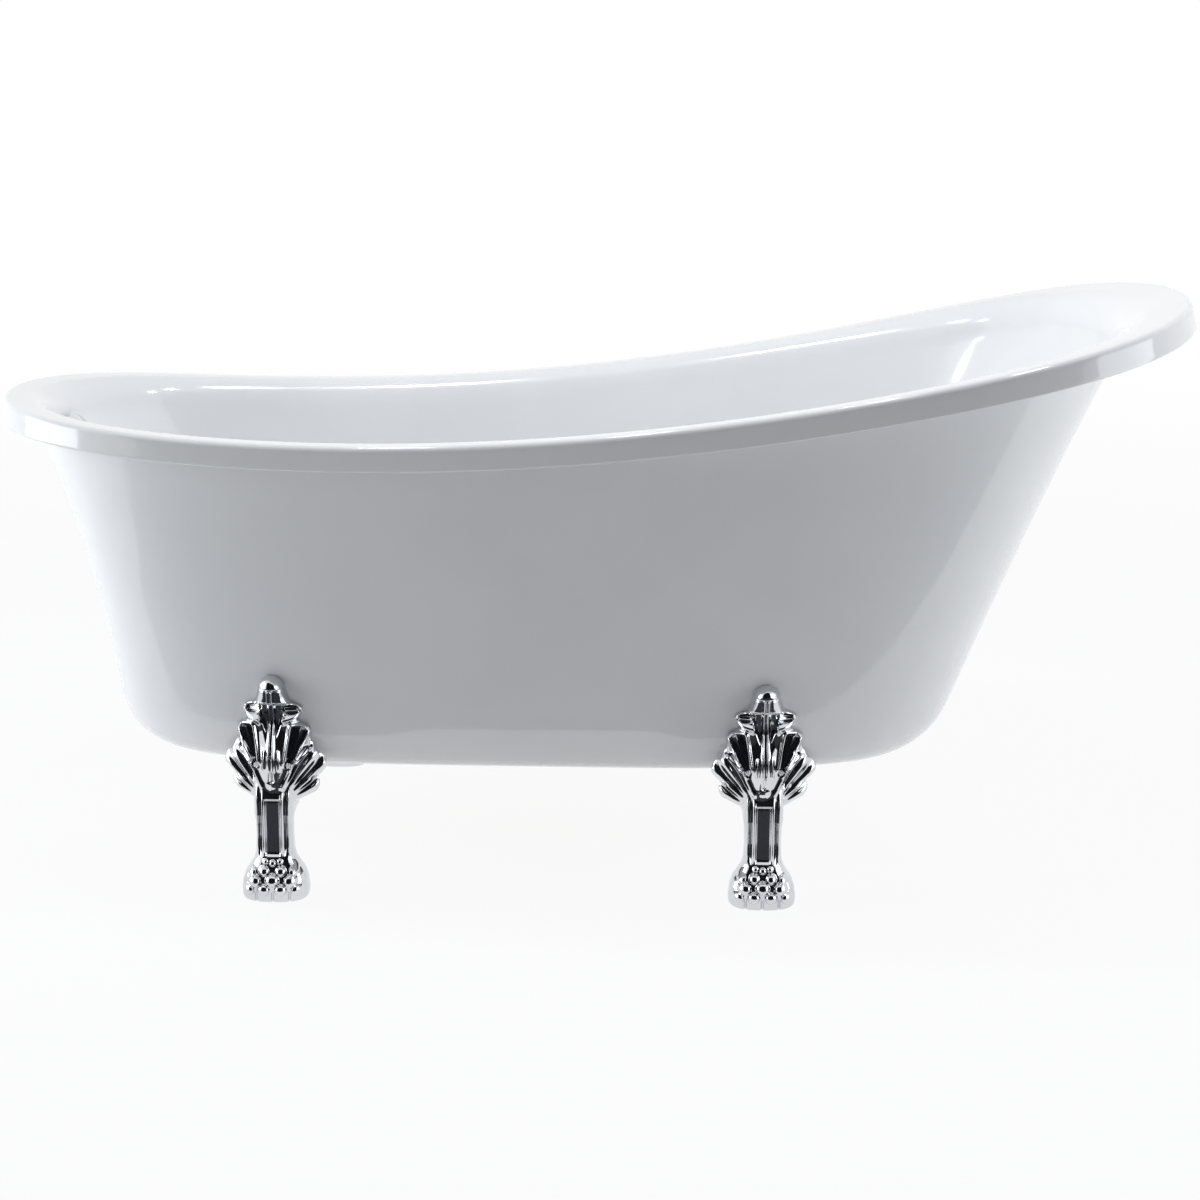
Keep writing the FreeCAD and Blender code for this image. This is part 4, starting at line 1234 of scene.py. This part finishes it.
@dataclass
class Studio:
    """A pale floor, soft lamps, dark cloths before the tub and the photograph's camera."""

    lens_mm: float = 59.62
    sensor_mm: float = 36.0
    eye: Triple = (0.0893, -2.548, 0.96126)
    yaw: float = -0.02882
    pitch: float = 0.24680
    roll: float = 0.005559
    # Share of the floor that shows as plain white; the rest is matt and keeps a faint shadow.
    floor_glow: float = 0.92
    # Strength of the even light from all round.
    sky: float = 0.38
    lamp_colour: str = "#f4f9ff"

    def camera(self) -> None:
        """Place the camera: forward from yaw and pitch, then rolled about it."""
        forward = Vector((np.sin(self.yaw) * np.cos(self.pitch), np.cos(self.yaw) * np.cos(self.pitch),
                          -np.sin(self.pitch)))
        level = Vector((np.cos(self.yaw), -np.sin(self.yaw), 0.0))
        upright = level.cross(forward)
        right = level * float(np.cos(self.roll)) + upright * float(np.sin(self.roll))
        up = upright * float(np.cos(self.roll)) - level * float(np.sin(self.roll))
        data = bpy.data.cameras.new("photograph")
        data.sensor_width = self.sensor_mm
        data.lens = self.lens_mm
        camera = bpy.data.objects.new("photograph", data)
        turn = Matrix((right, up, -forward)).transposed()
        camera.matrix_world = Matrix.Translation(Vector(self.eye)) @ turn.to_4x4()
        bpy.context.scene.collection.objects.link(camera)
        bpy.context.scene.camera = camera

    def lamp(self, name: str, place: Triple, aim: Triple,
             size: Pair, power: float) -> None:
        """Hang a soft rectangular lamp.

        Args:
            name: name of the lamp.
            place: where it hangs, in metres.
            aim: point that it faces.
            size: width and height, in metres.
            power: watts.
        """
        data = bpy.data.lights.new(name, "AREA")
        data.shape = "RECTANGLE"
        data.size, data.size_y = size
        data.energy = power
        data.color = linear(self.lamp_colour)[:3]
        lamp = bpy.data.objects.new(name, data)
        lamp.location = place
        lamp.rotation_euler = (Vector(aim) - Vector(place)).to_track_quat("-Z", "Y").to_euler()
        lamp.visible_camera = False
        bpy.context.scene.collection.objects.link(lamp)

    def seen_rays(self, tree: bpy.types.NodeTree) -> bpy.types.NodeSocket:
        """Tell the rays that show a surface, straight or through a mirror or glass, from light.

        Args:
            tree: the node tree that asks.

        Returns:
            A socket that is 1 for such rays and 0 for others.
        """
        path = add_node(tree, "ShaderNodeLightPath")
        seen = path.outputs["Is Camera Ray"]
        for kind in ("Is Glossy Ray", "Is Transmission Ray"):
            seen = add_node(tree, "ShaderNodeMath", {"operation": "MAXIMUM"},
                            {0: seen, 1: path.outputs[kind]}).outputs[0]
        return seen

    def floor(self) -> None:
        """A round white floor that fades out into the white surroundings."""
        around = np.arange(96) * TAU / 96
        radii = np.array((0.02, 1.0, 2.5, 4.5, 7.0))
        x, y = radii[:, None] * np.cos(around), radii[:, None] * np.sin(around)
        points = np.stack([x, y, np.zeros_like(x)], -1).reshape(-1, 3)
        faces = grid_faces(len(radii), len(around), wrap_rows=False)[:, ::-1].tolist()
        faces.append(list(range(len(around))))
        floor = mesh_object("floor", [(points, faces)])
        material = blank_material("matt_white_floor")
        tree = material.node_tree
        where = add_node(tree, "ShaderNodeTexCoord")
        reach = add_node(tree, "ShaderNodeVectorMath", {"operation": "LENGTH"}, {0: where.outputs["Object"]})
        fade = add_node(tree, "ShaderNodeMapRange", {"From Min": 1.6, "From Max": 5.0},
                        {"Value": reach.outputs["Value"]})
        matt = add_node(tree, "ShaderNodeBsdfDiffuse", {"Color": linear("#fbfbfb")})
        glow = add_node(tree, "ShaderNodeEmission", {"Color": linear("#ffffff"), "Strength": 1.0})
        seen = self.seen_rays(tree)
        share = add_node(tree, "ShaderNodeMath", {"operation": "MULTIPLY", 1: self.floor_glow}, {0: seen})
        lifted = add_node(tree, "ShaderNodeMixShader", links={0: share.outputs[0], 1: matt.outputs[0],
                                                              2: glow.outputs[0]})
        clear = add_node(tree, "ShaderNodeBsdfTransparent")
        mixed = add_node(tree, "ShaderNodeMixShader", links={0: fade.outputs["Result"],
                                                             1: lifted.outputs[0], 2: clear.outputs[0]})
        add_node(tree, "ShaderNodeOutputMaterial", links={"Surface": mixed.outputs[0]})
        floor.data.materials.append(material)
        floor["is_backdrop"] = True

    def dark_cloth(self, name: str, corners: np.ndarray, colour: str, shades: bool) -> None:
        """Hang or lay a dark cloth that is mirrored but not seen.

        Args:
            name: name of the cloth.
            corners: four corners for each of its strips.
            colour: its colour.
            shades: whether it also takes light from matt surfaces.
        """
        strips = np.arange(len(corners)).reshape(-1, 4).tolist()
        cloth = mesh_object(name, [(corners, strips)])
        material = blank_material(name)
        matt = add_node(material.node_tree, "ShaderNodeBsdfDiffuse", {"Color": linear(colour)})
        add_node(material.node_tree, "ShaderNodeOutputMaterial", links={"Surface": matt.outputs[0]})
        cloth.data.materials.append(material)
        cloth.visible_camera = False
        cloth.visible_shadow = False
        cloth.visible_diffuse = shades
        cloth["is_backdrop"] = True

    def surroundings(self) -> None:
        """White where it is seen or mirrored; a plain grey level of light everywhere else."""
        world = bpy.data.worlds.new("white_studio")
        world.use_nodes = True
        tree = world.node_tree
        tree.nodes.clear()
        seen = self.seen_rays(tree)
        light = add_node(tree, "ShaderNodeBackground", {"Color": linear("#ffffff"), "Strength": self.sky})
        white = add_node(tree, "ShaderNodeBackground", {"Color": linear("#ffffff"), "Strength": 1.0})
        mixed = add_node(tree, "ShaderNodeMixShader", links={0: seen, 1: light.outputs[0],
                                                             2: white.outputs[0]})
        add_node(tree, "ShaderNodeOutputWorld", links={"Surface": mixed.outputs[0]})
        bpy.context.scene.world = world

    def build(self) -> None:
        """Set the stage: camera, floor, surroundings, cloths and lamps."""
        self.camera()
        self.floor()
        self.surroundings()
        # Cloths behind the camera and on the floor before it, with a tongue towards each near foot.
        low = 0.002
        upright = np.array([(-3.4, -2.1, 3.9), (3.4, -2.1, 3.9), (3.4, -3.2, low), (-3.4, -3.2, low)])
        self.dark_cloth("dark_backcloth", upright, "#26272a", shades=True)
        strips = [(-3.4, -3.2, low), (3.4, -3.2, low), (1.4, -0.52, low), (-1.4, -0.52, low)]
        for x in FOOT_X.values():
            strips += [(x * MM + way, y, low) for way, y in ((-0.13, -0.52), (0.13, -0.52), (0.08, -0.42),
                                                             (-0.08, -0.42))]
        self.dark_cloth("dark_groundcloth", np.array(strips), "#48494c", shades=False)
        middle = (0.0, 0.0, 0.45)
        self.lamp("overhead", (0.0, 0.2, 2.5), middle, (3.0, 1.2), 1.0)
        for number, x in enumerate((-0.55, -0.18, 0.2, 0.58)):
            self.lamp("ceiling_spot_" + str(number), (x, -0.22, 1.7), (x, 0.1, 0.4), (0.12, 0.12), 2.5)
        self.lamp("low_end_side", (-2.6, -0.4, 0.8), middle, (1.5, 1.4), 34.0)
        self.lamp("head_end_side", (2.5, -0.85, 0.8), middle, (1.5, 1.4), 20.0)
        bpy.context.scene.view_settings.view_transform = "Standard"


# ---------------- assembly

def dress_cad_nodes(frame: dict, finishes: Finishes) -> None:
    """Give every CAD node that stays in view the finish of its slot.

    Args:
        finishes: the finishes to use.
    """
    for entry in frame["record"]["subparts"]:
        node = frame["nodes"][entry["node"]]
        if not node.hide_render:
            finishes.dress(node, entry["material_slot"])


def write_boxes(cad: object, looks: object) -> None:
    """Turn the two boxes into plain lists of numbers, which are not kept.

    Args:
        cad: the CAD model's box.
        looks: the dressed model's box.
    """
    lists = {name: [list(map(float, corner)) for corner in box]
             for name, box in (("cad", cad), ("visual", looks))}


def main() -> None:
    """Build the tub's looks, sub-assembly by sub-assembly."""
    logging.basicConfig(level=logging.INFO, format="%(name)s: %(message)s")
    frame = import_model()
    cad_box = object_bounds()
    finishes = Finishes()
    pieces = [Basin().build(finishes), Apron().build(finishes)] + Fittings().build(finishes)
    for side, word in ((-1, "near"), (1, "far")):
        for end, x in FOOT_X.items():
            pieces.append(ClawFoot("claw_foot_" + word + "_" + end, x, side).build(finishes))
    for piece in pieces:
        LOG.info("%s: %d faces", piece.name, len(piece.data.polygons))
    dress_cad_nodes(frame, finishes)
    Studio().build()
    write_boxes(cad_box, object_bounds())


if __name__ == "__main__":
    main()
